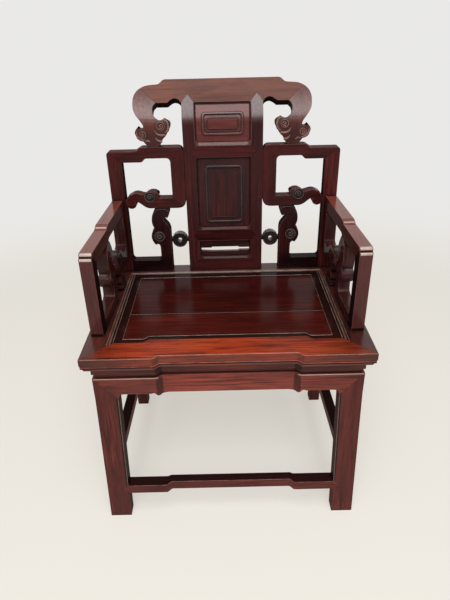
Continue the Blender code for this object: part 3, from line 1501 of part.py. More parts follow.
def set_origin(piece):
    """Puts a piece's origin at the middle of its underside."""
    corners = [Vector(corner) for corner in piece.bound_box]
    low = Vector([min(corner[axis] for corner in corners) for axis in range(3)])
    high = Vector([max(corner[axis] for corner in corners) for axis in range(3)])
    place = Vector(((low.x + high.x) / 2, (low.y + high.y) / 2, low.z))
    piece.data.transform(Matrix.Translation(-place))
    piece.location = place


def mirror_to_left(piece):
    left = copy_piece(piece, piece.name.removesuffix("right") + "left")
    mirror_mesh(left.data)
    return left


def build():
    rails = make_seat_frame()
    boards = make_seat_boards(*rails)
    waists = make_waist()
    aprons = make_aprons()
    front_leg, rear_leg = make_legs(rails)
    side_stretcher = make_side_stretcher(front_leg, rear_leg)
    front_stretcher = make_front_stretcher(front_leg)
    rear_stretcher = make_rear_stretcher(rear_leg)

    crest, crest_end = make_crest()
    splat_stile = make_splat_stile()
    splat_rails = make_splat_rails()
    splat_panels = make_splat_panels()
    assemble_splat(crest, splat_stile, splat_rails, splat_panels)
    dress_splat_panels(*splat_panels)
    ear_rail, ear_upright, ear_bar = make_ear()
    outer_stile = make_outer_stile(ear_rail, ear_bar)
    base_rail, low_scroll = make_low_frame(outer_stile, ear_bar)
    disc = make_disc(splat_stile, low_scroll)
    rest_crest_on_ears(crest_end, ear_rail)
    seat_back_on_frame(rails, outer_stile, splat_rails[2])
    arm = make_arm(rails[2], outer_stile)

    for piece in (crest, crest_end, splat_stile, splat_panels[0]):
        bend(piece)
    on_the_right = [rails[2], waists[2], aprons[2], front_leg, rear_leg, side_stretcher, crest_end,
                    splat_stile, ear_rail, ear_upright, ear_bar, outer_stile, base_rail, low_scroll,
                    disc] + list(arm)
    for piece in on_the_right:
        mirror_to_left(piece)
    for piece in chair.objects:
        set_origin(piece)
        paint(piece)
    for tool in list(cutters.objects):
        drop(tool)


build()
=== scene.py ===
import math

import bmesh
import bpy
from mathutils import Matrix, Vector
from mathutils.bvhtree import BVHTree


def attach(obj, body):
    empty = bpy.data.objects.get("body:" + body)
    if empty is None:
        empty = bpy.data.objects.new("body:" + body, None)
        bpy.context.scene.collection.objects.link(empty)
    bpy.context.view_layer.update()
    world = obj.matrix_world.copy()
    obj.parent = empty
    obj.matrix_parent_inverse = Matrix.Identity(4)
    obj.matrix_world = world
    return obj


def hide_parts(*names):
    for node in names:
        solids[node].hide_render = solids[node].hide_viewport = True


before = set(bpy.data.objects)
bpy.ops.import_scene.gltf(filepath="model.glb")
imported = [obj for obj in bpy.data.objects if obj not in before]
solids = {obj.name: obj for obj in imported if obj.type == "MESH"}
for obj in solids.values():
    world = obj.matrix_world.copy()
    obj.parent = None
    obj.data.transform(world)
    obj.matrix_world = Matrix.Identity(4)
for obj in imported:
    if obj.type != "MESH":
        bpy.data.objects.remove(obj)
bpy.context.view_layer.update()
mm = 0.001
print("armchair loaded:", len(solids), "solids")


# Sizes that the finish takes from the solids, in metres
chair = {
    "seatTop": 0.5,
    "seatHalfWidth": 0.314,
    "seatRail": 0.058,
    "frontRail": 0.0635,
    "frontY": -0.25158,
    "rearY": 0.21592,
    "backFace": 0.17992,        # front face of the back
    "panelStepX": 0.180,        # where the seat board steps
    "recessX": 0.153,           # where the front edge steps back
    "recessDepth": 0.011,
    "recessRamp": 0.014,
    "recessSteps": 5,
    "legFrontY": -0.22408,
    "frameHalfWidth": 0.300,
}
lean = {"start": 0.893, "radius": 0.070, "angle": math.radians(30), "steps": 5}
arms = {"outerX": 0.295, "thickness": 0.0285, "flare": math.radians(1.7)}
near = {"cut": 0.001 * mm, "shape": 0.01 * mm, "solid": 0.02 * mm}    # closer points are one


# Working on shapes

def addObject(name, data):
    thing = bpy.data.objects.new(name, data)
    bpy.context.scene.collection.objects.link(thing)
    return thing


def addShape(target, source):
    holder = bpy.data.meshes.new("holder")
    source.to_mesh(holder)
    source.free()
    target.from_mesh(holder)
    bpy.data.meshes.remove(holder)


def mirrorShape(shape):
    bmesh.ops.scale(shape, vec=(-1, 1, 1), verts=shape.verts)
    bmesh.ops.reverse_faces(shape, faces=shape.faces)


def cutLevel(shape, place, normal):
    everything = shape.verts[:] + shape.edges[:] + shape.faces[:]
    bmesh.ops.bisect_plane(shape, geom=everything, dist=near["cut"], plane_co=place, plane_no=normal)


# The upper back leans: a height above the bend is a length along the leaning face

def leanLevels():
    arc = lean["radius"] * lean["angle"]
    return [lean["start"] + arc * step / lean["steps"] for step in range(lean["steps"] + 1)]


def leanRow(step):
    angle = lean["angle"] * step / lean["steps"]
    place = Vector((0, chair["backFace"] + lean["radius"] * (1 - math.cos(angle)),
                    lean["start"] + lean["radius"] * math.sin(angle)))
    return place, Vector((0, math.cos(angle), -math.sin(angle)))


def leanPoint(place):
    levels = leanLevels()
    if place.z <= levels[0]:
        return place
    depth = place.y - chair["backFace"]
    if place.z >= levels[-1]:
        start, inward = leanRow(lean["steps"])
        rise = Vector((0, math.sin(lean["angle"]), math.cos(lean["angle"])))
        leaned = start + inward * depth + rise * (place.z - levels[-1])
    else:
        step = min(int((place.z - levels[0]) / (levels[1] - levels[0])), lean["steps"] - 1)
        share = (place.z - levels[step]) / (levels[step + 1] - levels[step])
        lower, lowerInward = leanRow(step)
        upper, upperInward = leanRow(step + 1)
        leaned = (lower + lowerInward * depth).lerp(upper + upperInward * depth, share)
    leaned.x = place.x
    return leaned


def leanShape(shape):
    for level in leanLevels():
        cutLevel(shape, (0, 0, level), (0, 0, 1))
    for vertex in shape.verts:
        vertex.co = leanPoint(vertex.co.copy())


# A flat shape, drawn right, up and out, is stood on the front of the back
def standOnBack(shape, x, z, setback=0.0):
    turn = Matrix(((1, 0, 0, x), (0, 0, -1, chair["backFace"] + setback), (0, 1, 0, z), (0, 0, 0, 1)))
    bmesh.ops.transform(shape, matrix=turn, verts=shape.verts)


# The same on an arm: out is away from the seat for side 1 and towards it for side -1
def standOnArm(shape, y, z, side):
    face = arms["outerX"] if side > 0 else arms["outerX"] - arms["thickness"]
    turn = Matrix(((0, 0, side, face), (side, 0, 0, y), (0, 1, 0, z), (0, 0, 0, 1)))
    bmesh.ops.transform(shape, matrix=turn, verts=shape.verts)
    turnArmOut(shape)


def turnArmOut(shape):
    pivot = Vector((arms["outerX"], chair["backFace"], 0))
    turnOut = Matrix.Translation(pivot) @ Matrix.Rotation(arms["flare"], 4, "Z") @ Matrix.Translation(-pivot)
    bmesh.ops.transform(shape, matrix=turnOut, verts=shape.verts)


# Mouldings and carving

# Into how many parts each round is divided
segments = {"lowCorner": 7, "highCorner": 5, "section": 10, "ring": 40, "boss": 36, "knob": (14, 8),
            "stroke": 6, "arris": 3}
spandrelOverlap = 0.4 * mm      # how far a spandrel reaches past its opening


def roundCorners(shape, corners, radius, count):
    bmesh.ops.bevel(shape, geom=corners, offset=radius, offset_type="OFFSET", segments=count,
                    profile=0.5, affect="VERTICES", material=-1)


# Fills from a rounded rim out to square corners
def addSpandrel(shape, rim, halfWidth, halfHeight):
    outer = bmesh.ops.create_grid(shape, x_segments=1, y_segments=1, size=1)["verts"]
    bmesh.ops.scale(shape, vec=(halfWidth + spandrelOverlap, halfHeight + spandrelOverlap, 1), verts=outer)
    outerFace = outer[0].link_faces[:]
    outerEdges = outerFace[0].edges[:]
    bmesh.ops.delete(shape, geom=outerFace, context="FACES_ONLY")
    bmesh.ops.triangle_fill(shape, use_beauty=True, edges=outerEdges + rim, normal=(0, 0, 1))


# A moulding inside a square opening. Each step goes inward, up, and further up at the low side
def mouldedRing(halfWidth, halfHeight, lowRadius, highRadius, steps, spandrel=False):
    shape = bmesh.new()
    bmesh.ops.create_grid(shape, x_segments=1, y_segments=1, size=1)
    bmesh.ops.scale(shape, vec=(halfWidth, halfHeight, 1), verts=shape.verts)
    lowCorners = [vertex for vertex in shape.verts if vertex.co.y < 0]
    roundCorners(shape, lowCorners, lowRadius, segments["lowCorner"])
    highCorners = [vertex for vertex in shape.verts if vertex.co.y > 0]
    roundCorners(shape, highCorners, highRadius, segments["highCorner"])
    middle = shape.faces[:]
    if middle[0].normal.z < 0:
        bmesh.ops.reverse_faces(shape, faces=middle)
    for inward, rise, lift in steps:
        bmesh.ops.inset_region(shape, faces=middle, thickness=inward * mm, depth=rise * mm,
                               use_even_offset=True, use_boundary=True)
        corners = middle[0].verts
        high = max(vertex.co.y for vertex in corners)
        low = min(vertex.co.y for vertex in corners)
        for vertex in corners:
            vertex.co.y += lift * mm * (high - vertex.co.y) / (high - low)
    rim = [edge for edge in shape.edges if edge.is_boundary]
    bmesh.ops.delete(shape, geom=middle, context="FACES_ONLY")
    if spandrel:
        addSpandrel(shape, rim, halfWidth, halfHeight)
    return shape


# A rod along a line of places, thick or thin by its radii
def rod(places, radii, closed=False, resolution=3):
    curve = bpy.data.curves.new("rod", "CURVE")
    curve.dimensions = "3D"
    curve.bevel_depth = 1.0
    curve.bevel_resolution = resolution
    curve.use_fill_caps = not closed
    spline = curve.splines.new("POLY")
    spline.points.add(len(places) - 1)
    spline.use_cyclic_u = closed
    for index, (point, place) in enumerate(zip(spline.points, places)):
        point.co = (place[0], place[1], place[2], 1)
        share = index / max(len(places) - 1, 1)
        point.radius = radiusAt(radii, share)
    holder = addObject("rod", curve)
    graph = bpy.context.evaluated_depsgraph_get()
    mesh = bpy.data.meshes.new_from_object(holder.evaluated_get(graph))
    bpy.data.objects.remove(holder, do_unlink=True)
    bpy.data.curves.remove(curve)
    shape = bmesh.new()
    shape.from_mesh(mesh)
    bpy.data.meshes.remove(mesh)
    bmesh.ops.remove_doubles(shape, verts=shape.verts, dist=near["shape"])
    bmesh.ops.recalc_face_normals(shape, faces=shape.faces)
    return shape


def radiusAt(radii, share):
    place = share * (len(radii) - 1)
    index = min(int(place), len(radii) - 2)
    return (radii[index] + (radii[index + 1] - radii[index]) * (place - index)) * mm


# Painted shade: every face of the shape is darkened towards black
def paintShade(shape, amount=1.0):
    shadeAndGrime = shape.faces.layers.float.new("shadeAndGrime")
    for face in shape.faces:
        face[shadeAndGrime] = amount
    return shape


# A round ring lying flat, its section turned about the middle
def ring(radius, thickness, flatness):
    shape = bmesh.new()
    circle = bmesh.ops.create_circle(shape, segments=segments["section"], radius=thickness)["verts"]
    bmesh.ops.rotate(shape, cent=(0, 0, 0), matrix=Matrix.Rotation(math.pi / 2, 3, "X"), verts=circle)
    bmesh.ops.translate(shape, vec=(radius, 0, 0), verts=circle)
    bmesh.ops.spin(shape, geom=shape.verts[:] + shape.edges[:], cent=(0, 0, 0), axis=(0, 0, 1),
                   angle=2 * math.pi, steps=segments["ring"], use_merge=True)
    bmesh.ops.scale(shape, vec=(1, 1, flatness), verts=shape.verts)
    bmesh.ops.recalc_face_normals(shape, faces=shape.faces)
    return shape


# A smooth line of places through a few knots
def throughKnots(knots):
    steps = segments["stroke"]
    places = []
    for index in range(len(knots) - 1):
        before = Vector(knots[max(index - 1, 0)])
        start = Vector(knots[index])
        end = Vector(knots[index + 1])
        after = Vector(knots[min(index + 2, len(knots) - 1)])
        for step in range(steps):
            t = step / steps
            places.append(0.5 * (2 * start + (end - before) * t
                                 + (2 * before - 5 * start + 4 * end - after) * t ** 2
                                 + (3 * start - before - 3 * end + after) * t ** 3))
    places.append(Vector(knots[-1]))
    return places


# Carved stroke: a flattened rod through knots on the face
def stroke(knots, radii, flatness):
    shape = rod(throughKnots([(x, y, 0) for x, y in knots]), radii)
    bmesh.ops.scale(shape, vec=(1, 1, flatness), verts=shape.verts)
    return shape


# How flat the dark band of painted shade round a stroke lies
shadeFlatness = 0.12


# The same with a dark band of painted shade all round it, its width in mm
def strokeWithShade(knots, radii, flatness, groove):
    wider = [radius + groove for radius in radii]
    shape = paintShade(stroke(knots, wider, shadeFlatness))
    addShape(shape, stroke(knots, radii, flatness))
    return shape


# A spiral with a rim, on a ground darkened as painted shade; lengths in mm
spiralCarving = {
    "ground": 1.2,          # how far the ground runs past the rim
    "groundHeight": 0.5,
    # the ground's section: out from the middle and up, as shares
    "section": [(1.0, -0.5), (1.0, 0.25), (0.97, 0.55), (0.90, 0.80), (0.75, 0.95), (0.45, 1.0), (0.0, 1.0)],
    "rim": 1.1,             # thickness of the rim
    "rimFlatness": 1.1,
    "rimLift": 0.8,
    "startShare": 0.61,     # where the spiral starts, as a share of the radius
    "turns": (0.8, 0.04),   # turns at no radius and for each mm of it
    "stepsPerTurn": 26,
    "closing": 0.85,        # at 1 the spiral closes in evenly, below 1 faster at its start
    "ridge": (1.25, 1.2, 1.05),
    "core": 1.6,
    "coreShare": 0.75,      # radius of the knob, as a share of the core
    "lift": 1.0,
}


# A curl that winds in from its rim; sense 1 winds anticlockwise
def curl(radius, turns, startAngle, sense):
    steps = int(turns * spiralCarving["stepsPerTurn"])
    inner = spiralCarving["core"] * mm
    places = []
    for step in range(steps + 1):
        share = step / steps
        reach = radius + (inner - radius) * share ** spiralCarving["closing"]
        angle = math.radians(startAngle) + sense * 2 * math.pi * turns * share
        places.append((reach * math.cos(angle), reach * math.sin(angle), 0))
    shape = rod(places, spiralCarving["ridge"])
    knob = bmesh.new()
    knobRadius = spiralCarving["core"] * spiralCarving["coreShare"] * mm
    around, up = segments["knob"]
    bmesh.ops.create_uvsphere(knob, u_segments=around, v_segments=up, radius=knobRadius)
    addShape(shape, knob)
    return shape


# A low round boss, its section turned about its middle
def boss(radius, height):
    shape = bmesh.new()
    section = [(radius * out, height * mm * up) for out, up in spiralCarving["section"]]
    corners = [shape.verts.new((x, 0, z)) for x, z in section]
    edges = [shape.edges.new(pair) for pair in zip(corners, corners[1:])]
    bmesh.ops.spin(shape, geom=corners + edges, cent=(0, 0, 0), axis=(0, 0, 1), angle=2 * math.pi,
                   steps=segments["boss"], use_merge=True)
    bmesh.ops.remove_doubles(shape, verts=shape.verts, dist=near["shape"])
    bmesh.ops.recalc_face_normals(shape, faces=shape.faces)
    return shape


# The ground under the rim and spiral is darkened as painted shade, by the given amount
def spiralBoss(radius, startAngle, sense, shadeAndGrime):
    shape = paintShade(boss((radius + spiralCarving["ground"]) * mm, spiralCarving["groundHeight"]), shadeAndGrime)
    thickness = spiralCarving["rim"]
    rim = ring((radius - thickness) * mm, thickness * mm, spiralCarving["rimFlatness"])
    bmesh.ops.translate(rim, vec=(0, 0, spiralCarving["rimLift"] * mm), verts=rim.verts)
    addShape(shape, rim)
    least, each = spiralCarving["turns"]
    spiral = curl(radius * spiralCarving["startShare"] * mm, least + each * radius, startAngle, sense)
    bmesh.ops.translate(spiral, vec=(0, 0, spiralCarving["lift"] * mm), verts=spiral.verts)
    addShape(shape, spiral)
    return shape


# One face's strokes and spirals, drawn to the right and up; stand puts a shape in its place
def carveInto(shape, work, stand, side=1):
    for knots, radii in work.get("strokes", ()):
        places = [(x * side, z) for x, z in knots]
        line = strokeWithShade(places, radii, work["flatness"], work["groove"])
        stand(line, 0, 0)
        addShape(shape, line)
    for x, z, radius, startAngle, sense in work.get("spirals", ()):
        spiral = spiralBoss(radius, startAngle, sense, work["shadeAndGrime"])
        stand(spiral, x, z)
        addShape(shape, spiral)


# Wood

# A wood's shine is its plain reflection, coat the roughness of its polish, and streak how light
# the dark streaks stay. Places on the chair that some woods name:
# footShade: painted shade towards the foot: the height where the foot is dark, the height where that ends,
# the least light
# endShade: how far out the shade starts, where it is full, the least light
# polish: the heights where a bright band starts, is full, begins to fade and ends, its weight
def wood(deep, main, warm, rough, shine=0.0, coat=0.18, streak=0.78, **places):
    return {"deep": deep, "main": main, "warm": warm, "rough": rough, "shine": shine, "coat": coat,
            "streak": streak, **places}


woods = {
    "crest": wood((0.075, 0.026, 0.018), (0.125, 0.042, 0.028), (0.18, 0.052, 0.028), 0.36),
    "back": wood((0.026, 0.0056, 0.0054), (0.05, 0.0094, 0.0086), (0.088, 0.0125, 0.01), 0.30),
    "stile": wood((0.024, 0.0066, 0.0066), (0.04, 0.01, 0.0098), (0.07, 0.013, 0.0115), 0.27,
                  polish=(0.882, 0.912, 1.20, 1.30, 1.0), coat=0.32),
    # A darker copy of the back wood for the low scroll and the base rail: painted shade, deeper still towards
    # the foot
    "low": wood((0.012, 0.0032, 0.0032), (0.023, 0.0054, 0.0052), (0.048, 0.0082, 0.0072), 0.30,
                footShade=(0.530, 0.560, 0.45)),
    "lowRail": wood((0.016, 0.0034, 0.0032), (0.031, 0.0056, 0.005), (0.07, 0.0095, 0.0075), 0.27),
    # Its footShade paints shade over the carved lower part, below the bend
    "crestEnd": wood((0.058, 0.0165, 0.013), (0.098, 0.03, 0.0235), (0.15, 0.046, 0.031), 0.30,
                     polish=(0.880, 0.908, 0.916, 0.976, 1.0), coat=0.34, footShade=(0.865, 0.903, 0.52)),
    "topBead": wood((0.045, 0.01, 0.009), (0.09, 0.019, 0.016), (0.14, 0.036, 0.026), 0.22, shine=0.34),
    "middleBead": wood((0.016, 0.005, 0.005), (0.03, 0.009, 0.0088), (0.058, 0.018, 0.015), 0.22,
                       shine=0.34),
    # Pale grey-brown: the beads' colour is partly a painted highlight
    "bead": wood((0.036, 0.02, 0.014), (0.072, 0.045, 0.031), (0.145, 0.108, 0.074), 0.24, shine=0.60),
    "lip": wood((0.04, 0.011, 0.008), (0.075, 0.021, 0.014), (0.12, 0.045, 0.03), 0.22, shine=0.22),
    "lowLip": wood((0.02, 0.005, 0.0046), (0.042, 0.009, 0.0078), (0.08, 0.018, 0.013), 0.24, shine=0.10),
    # Painted highlight: pale shiny wood for the arm bands and the apron's gleam
    "glint": wood((0.22, 0.14, 0.11), (0.33, 0.235, 0.19), (0.42, 0.31, 0.25), 0.22, shine=0.90),
    # Near black: painted shade for the dark lines beside beads, bands and carving
    "groove": wood((0.006, 0.004, 0.004), (0.01, 0.006, 0.0055), (0.016, 0.008, 0.007), 0.36, shine=0.12),
    "disc": wood((0.007, 0.0038, 0.0038), (0.014, 0.0062, 0.006), (0.032, 0.011, 0.01), 0.28, shine=0.20),
    # Curl and crestCurl are paler and greyer than the wood round them: the ridges' colour is partly a painted
    # highlight
    "curl": wood((0.036, 0.022, 0.0205), (0.064, 0.041, 0.038), (0.12, 0.081, 0.074), 0.26, shine=0.10),
    "crestCurl": wood((0.1, 0.038, 0.032), (0.155, 0.062, 0.051), (0.22, 0.098, 0.08), 0.25, shine=0.22),
    "topPanel": wood((0.05, 0.01, 0.009), (0.115, 0.02, 0.017), (0.17, 0.026, 0.018), 0.30, shine=0.18),
    "panel": wood((0.02, 0.0055, 0.0055), (0.036, 0.0085, 0.0085), (0.07, 0.012, 0.01), 0.32, shine=0.14),
    "seat": wood((0.023, 0.0028, 0.0021), (0.034, 0.0038, 0.0028), (0.062, 0.0075, 0.0042), 0.26),
    "seatFrontBoard": wood((0.036, 0.004, 0.0028), (0.056, 0.0064, 0.0044), (0.088, 0.011, 0.0056), 0.26),
    "seatFrame": wood((0.026, 0.0065, 0.005), (0.062, 0.013, 0.0095), (0.105, 0.021, 0.014), 0.30,
                      shine=0.13),
    "seatFront": wood((0.11, 0.013, 0.0055), (0.345, 0.04, 0.0115), (0.42, 0.066, 0.018), 0.30,
                      shine=0.16, endShade=(0.16, 0.31, 0.36), streak=0.40),
    "apron": wood((0.08, 0.016, 0.012), (0.19, 0.036, 0.024), (0.285, 0.049, 0.028), 0.32,
                  shine=0.16, endShade=(0.14, 0.31, 0.70), streak=0.52),
    "waist": wood((0.045, 0.01, 0.0085), (0.085, 0.018, 0.014), (0.13, 0.026, 0.018), 0.34, shine=0.12),
    "leg": wood((0.054, 0.0125, 0.0105), (0.088, 0.0195, 0.016), (0.145, 0.029, 0.021), 0.32),
    "arm": wood((0.125, 0.0285, 0.019), (0.17, 0.038, 0.025), (0.225, 0.048, 0.03), 0.27),
    "armPost": wood((0.052, 0.013, 0.012), (0.07, 0.0175, 0.0158), (0.1, 0.024, 0.02), 0.27),
    "armCurl": wood((0.018, 0.0058, 0.0052), (0.034, 0.01, 0.0088), (0.064, 0.018, 0.015), 0.26),
    "armInner": wood((0.024, 0.007, 0.0062), (0.05, 0.0125, 0.0105), (0.085, 0.019, 0.014), 0.22),
}
finish = {
    "grainBump": 0.09,
    "bumpDepth": 0.3,                   # mm
    "wearAndHighlight": (0.15, 0.85),               # least and most lightening on an edge, part rubbing and part painted highlight
    "wornAndHighlitLift": (1.2, 0.030),           # a lightened edge is the warm colour times this plus this, part rubbing and part painted highlight
    "poreShare": 0.45,
    "poreShade": 0.4,
    # Painted shade in crevices, from ambient occlusion: its reach, share and colour
    "creviceReach": 9,                  # mm
    "creviceShadeShare": 0.92,
    "creviceShadeColour": (0.004, 0.0028, 0.0028),
    # Colour that painted shade and the other darkened faces go towards
    "shadeAndGrimeColour": (0.007, 0.0045, 0.004),
    "endShadeDrift": 0.03,
    "dulling": (-0.05, 0.08),           # how far blotches change the roughness
    "poreDulling": 0.06,
    "dirtDulling": 0.25,
    "polishFade": 0.25,                 # what is left of the bright band past its end
    "polishDrift": 0.86,
}
# Patterns in the wood: stretch along the grain, scale, detail, roughness and distortion
patterns = {
    "figure": (0.14, 42, 5, 0.62, 0.5),
    "streaks": (0.03, 260, 4, 0.62, 0.0),
    "pores": (0.10, 430, 3, 0.60, 0.0),
    "blotches": (0.60, 9, 3, 0.55, 0.0),
    "rub": (0.50, 70, 4, 0.65, 0.0),
}
patternSteps = (0.37, 0.61, 0.83)       # how far each new material moves the patterns
# From which value of a pattern to which other an effect grows
spans = {
    "main": (0.30, 0.62),
    "warmStreaks": (0.42, 0.66),
    "warmBlotches": (0.40, 0.66),
    "darkStreaks": (0.30, 0.52),
    "pores": (0.56, 0.72),
    "crevice": (0.40, 0.93),
    "rub": (0.36, 0.62),
    "endDrift": (0.30, 0.70),
    "dulling": (0.30, 0.70),
    "poreDulling": (0.55, 0.75),
    "relief": (0.30, 0.70),
    "polishDrift": (0.34, 0.62),
}


def setInputs(node, values):
    for name, value in values.items():
        node.inputs[name].default_value = value


class Graph:
    # Short hand for wiring the nodes of a material or a world
    def __init__(self, owner):
        self.nodes = owner.node_tree.nodes
        self.links = owner.node_tree.links

    def add(self, kind, **values):
        node = self.nodes.new(kind)
        for key, value in values.items():
            setattr(node, key, value)
        return node

    def wire(self, output, node, name):
        self.links.new(output, node.inputs[name])

    def noise(self, vector, scale, detail, roughness, distortion):
        node = self.add("ShaderNodeTexNoise")
        setInputs(node, {"Scale": scale, "Detail": detail, "Roughness": roughness, "Distortion": distortion})
        self.wire(vector, node, "Vector")
        return node.outputs["Fac"]

    def spread(self, value, low, high, newLow=0.0, newHigh=1.0):
        node = self.add("ShaderNodeMapRange", interpolation_type="SMOOTHSTEP")
        setInputs(node, {"From Min": low, "From Max": high, "To Min": newLow, "To Max": newHigh})
        self.wire(value, node, "Value")
        return node.outputs["Result"]

    def blend(self, share, first, second, kind="MIX"):
        node = self.add("ShaderNodeMix", data_type="RGBA", blend_type=kind)
        for slot, value in ((0, share), (6, first), (7, second)):
            if isinstance(value, tuple):
                node.inputs[slot].default_value = value + (1,)
            elif isinstance(value, (int, float)):
                node.inputs[slot].default_value = value
            else:
                self.links.new(value, node.inputs[slot])
        return node.outputs[2]

    def times(self, first, second, operation="MULTIPLY"):
        node = self.add("ShaderNodeMath", operation=operation)
        for slot, value in enumerate((first, second)):
            if isinstance(value, (int, float)):
                node.inputs[slot].default_value = value
            else:
                self.links.new(value, node.inputs[slot])
        return node.outputs[0]

    def attribute(self, name):
        return self.add("ShaderNodeAttribute", attribute_name=name).outputs["Fac"]

    def darken(self, colour, shade):
        grey = self.blend(shade, (0, 0, 0), (1, 1, 1))
        return self.blend(1.0, colour, grey, "MULTIPLY")

    # 1 where the camera or a reflection looks, 0 for other light
    def seenDirectly(self):
        path = self.add("ShaderNodeLightPath")
        return self.times(path.outputs["Is Camera Ray"], path.outputs["Is Glossy Ray"], "MAXIMUM")

    def mixShaders(self, share, first, second):
        mix = self.add("ShaderNodeMixShader")
        for slot, output in enumerate((share, first.outputs[0], second.outputs[0])):
            self.links.new(output, mix.inputs[slot])
        return mix.outputs[0]


def grainPatterns(graph, coordinates, grain, seed):
    outputs = {}
    for name, (along, scale, detail, roughness, distortion) in patterns.items():
        mapping = graph.add("ShaderNodeMapping")
        setInputs(mapping, {"Location": [seed * step % 1 for step in patternSteps],
                            "Scale": [along if axis == grain else 1.0 for axis in "xyz"]})
        graph.wire(coordinates, mapping, "Vector")
        outputs[name] = graph.noise(mapping.outputs["Vector"], scale, detail, roughness, distortion)
    return outputs


# What a wood's colour and gloss are made from: patterns, place on the chair, painted shade in crevices, and
# each face's darkening, mostly painted shade
def woodGrounds(graph, grain, seed):
    coordinates = graph.add("ShaderNodeTexCoord").outputs["Object"]
    grounds = grainPatterns(graph, coordinates, grain, seed)
    place = graph.add("ShaderNodeSeparateXYZ")
    graph.wire(coordinates, place, "Vector")
    grounds["height"] = place.outputs["Z"]
    grounds["across"] = place.outputs["X"]
    # Ambient occlusion, for painted shade in crevices
    crevice = graph.add("ShaderNodeAmbientOcclusion", samples=8)
    crevice.inputs["Distance"].default_value = finish["creviceReach"] * mm
    grounds["crevice"] = graph.spread(crevice.outputs["AO"], *spans["crevice"], 1.0, 0.0)
    grounds["openPores"] = graph.spread(grounds["pores"], *spans["pores"], 0.0, finish["poreShare"])
    grounds["shadeAndGrime"] = graph.attribute("shadeAndGrime")
    return grounds


def woodColour(graph, timber, grounds):
    streaks = grounds["streaks"]
    blotches = grounds["blotches"]
    colour = graph.blend(graph.spread(grounds["figure"], *spans["main"]), timber["deep"], timber["main"])
    warmShare = graph.times(graph.spread(streaks, *spans["warmStreaks"]),
                            graph.spread(blotches, *spans["warmBlotches"]))
    colour = graph.blend(warmShare, colour, timber["warm"])
    colour = graph.darken(colour, graph.spread(streaks, *spans["darkStreaks"], timber["streak"], 1.0))
    poreColour = tuple(channel * finish["poreShade"] for channel in timber["deep"])
    colour = graph.blend(grounds["openPores"], colour, poreColour)
    # Painted shade: crevices darkened towards near black
    creviceShadeShare = graph.times(grounds["crevice"], finish["creviceShadeShare"])
    colour = graph.blend(creviceShadeShare, colour, finish["creviceShadeColour"])
    # Each face's darkening, mostly painted shade, from its face value
    colour = graph.blend(grounds["shadeAndGrime"], colour, finish["shadeAndGrimeColour"])
    # Edges lightened: part rubbing, part painted highlight
    rub = graph.spread(grounds["rub"], *spans["rub"], *finish["wearAndHighlight"])
    factor, lift = finish["wornAndHighlitLift"]
    rubbedAndHighlit = tuple(channel * factor + lift for channel in timber["warm"])
    colour = graph.blend(graph.times(graph.attribute("edgeWearAndHighlight"), rub), colour, rubbedAndHighlit)
    # Painted shade, darker towards the foot
    if "footShade" in timber:
        dark, light, least = timber["footShade"]
        colour = graph.darken(colour, graph.spread(grounds["height"], dark, light, least, 1.0))
    if "endShade" in timber:
        light, dark, least = timber["endShade"]
        drift = graph.spread(blotches, *spans["endDrift"], -finish["endShadeDrift"], finish["endShadeDrift"])
        outward = graph.times(graph.times(grounds["across"], 0.0, "ABSOLUTE"), drift, "ADD")
        colour = graph.darken(colour, graph.spread(outward, light, dark, 1.0, least))
    return colour


def woodRoughness(graph, timber, grounds):
    least, most = (timber["rough"] + change for change in finish["dulling"])
    dull = graph.spread(grounds["blotches"], *spans["dulling"], least, most)
    poreDull = graph.spread(grounds["pores"], *spans["poreDulling"], 0.0, finish["poreDulling"])
    dull = graph.times(dull, poreDull, "ADD")
    for dirt in ("crevice", "shadeAndGrime"):
        dull = graph.times(dull, graph.times(grounds[dirt], finish["dirtDulling"]), "ADD")
    return dull


# The hand polish: a coat where a member is polished bright, none where a face is darkened as painted shade
def woodPolish(graph, timber, grounds):
    polish = graph.attribute("sheen")
    if "polish" in timber:
        start, full, hold, end, weight = timber["polish"]
        rising = graph.spread(grounds["height"], start, full)
        falling = graph.spread(grounds["height"], hold, end, 1.0, finish["polishFade"])
        least = finish["polishDrift"] * weight
        uneven = graph.spread(grounds["streaks"], *spans["polishDrift"], least, weight)
        polish = graph.times(graph.times(graph.times(rising, falling), uneven), polish, "MAXIMUM")
    clean = graph.times(1.0, grounds["shadeAndGrime"], "SUBTRACT")
    return graph.times(polish, clean)


# Polished dark hardwood with its grain along one axis; the place of the patterns is set by seed
def woodMaterial(name, tone, grain, seed):
    timber = woods[tone]
    material = bpy.data.materials.new(name)
    material.use_nodes = True
    graph = Graph(material)
    shader = graph.nodes["Principled BSDF"]
    grounds = woodGrounds(graph, grain, seed)
    graph.wire(woodColour(graph, timber, grounds), shader, "Base Color")
    graph.wire(woodRoughness(graph, timber, grounds), shader, "Roughness")
    graph.wire(woodPolish(graph, timber, grounds), shader, "Coat Weight")
    setInputs(shader, {"Coat Roughness": timber["coat"], "Specular IOR Level": timber["shine"]})
    bump = graph.add("ShaderNodeBump")
    setInputs(bump, {"Strength": finish["grainBump"], "Distance": finish["bumpDepth"] * mm})
    ridges = graph.spread(grounds["streaks"], *spans["relief"])
    graph.wire(graph.times(ridges, grounds["openPores"], "SUBTRACT"), bump, "Height")
    graph.wire(bump.outputs["Normal"], shader, "Normal")
    return material


# Members: softened edge in millimetres, wood and the way of the grain

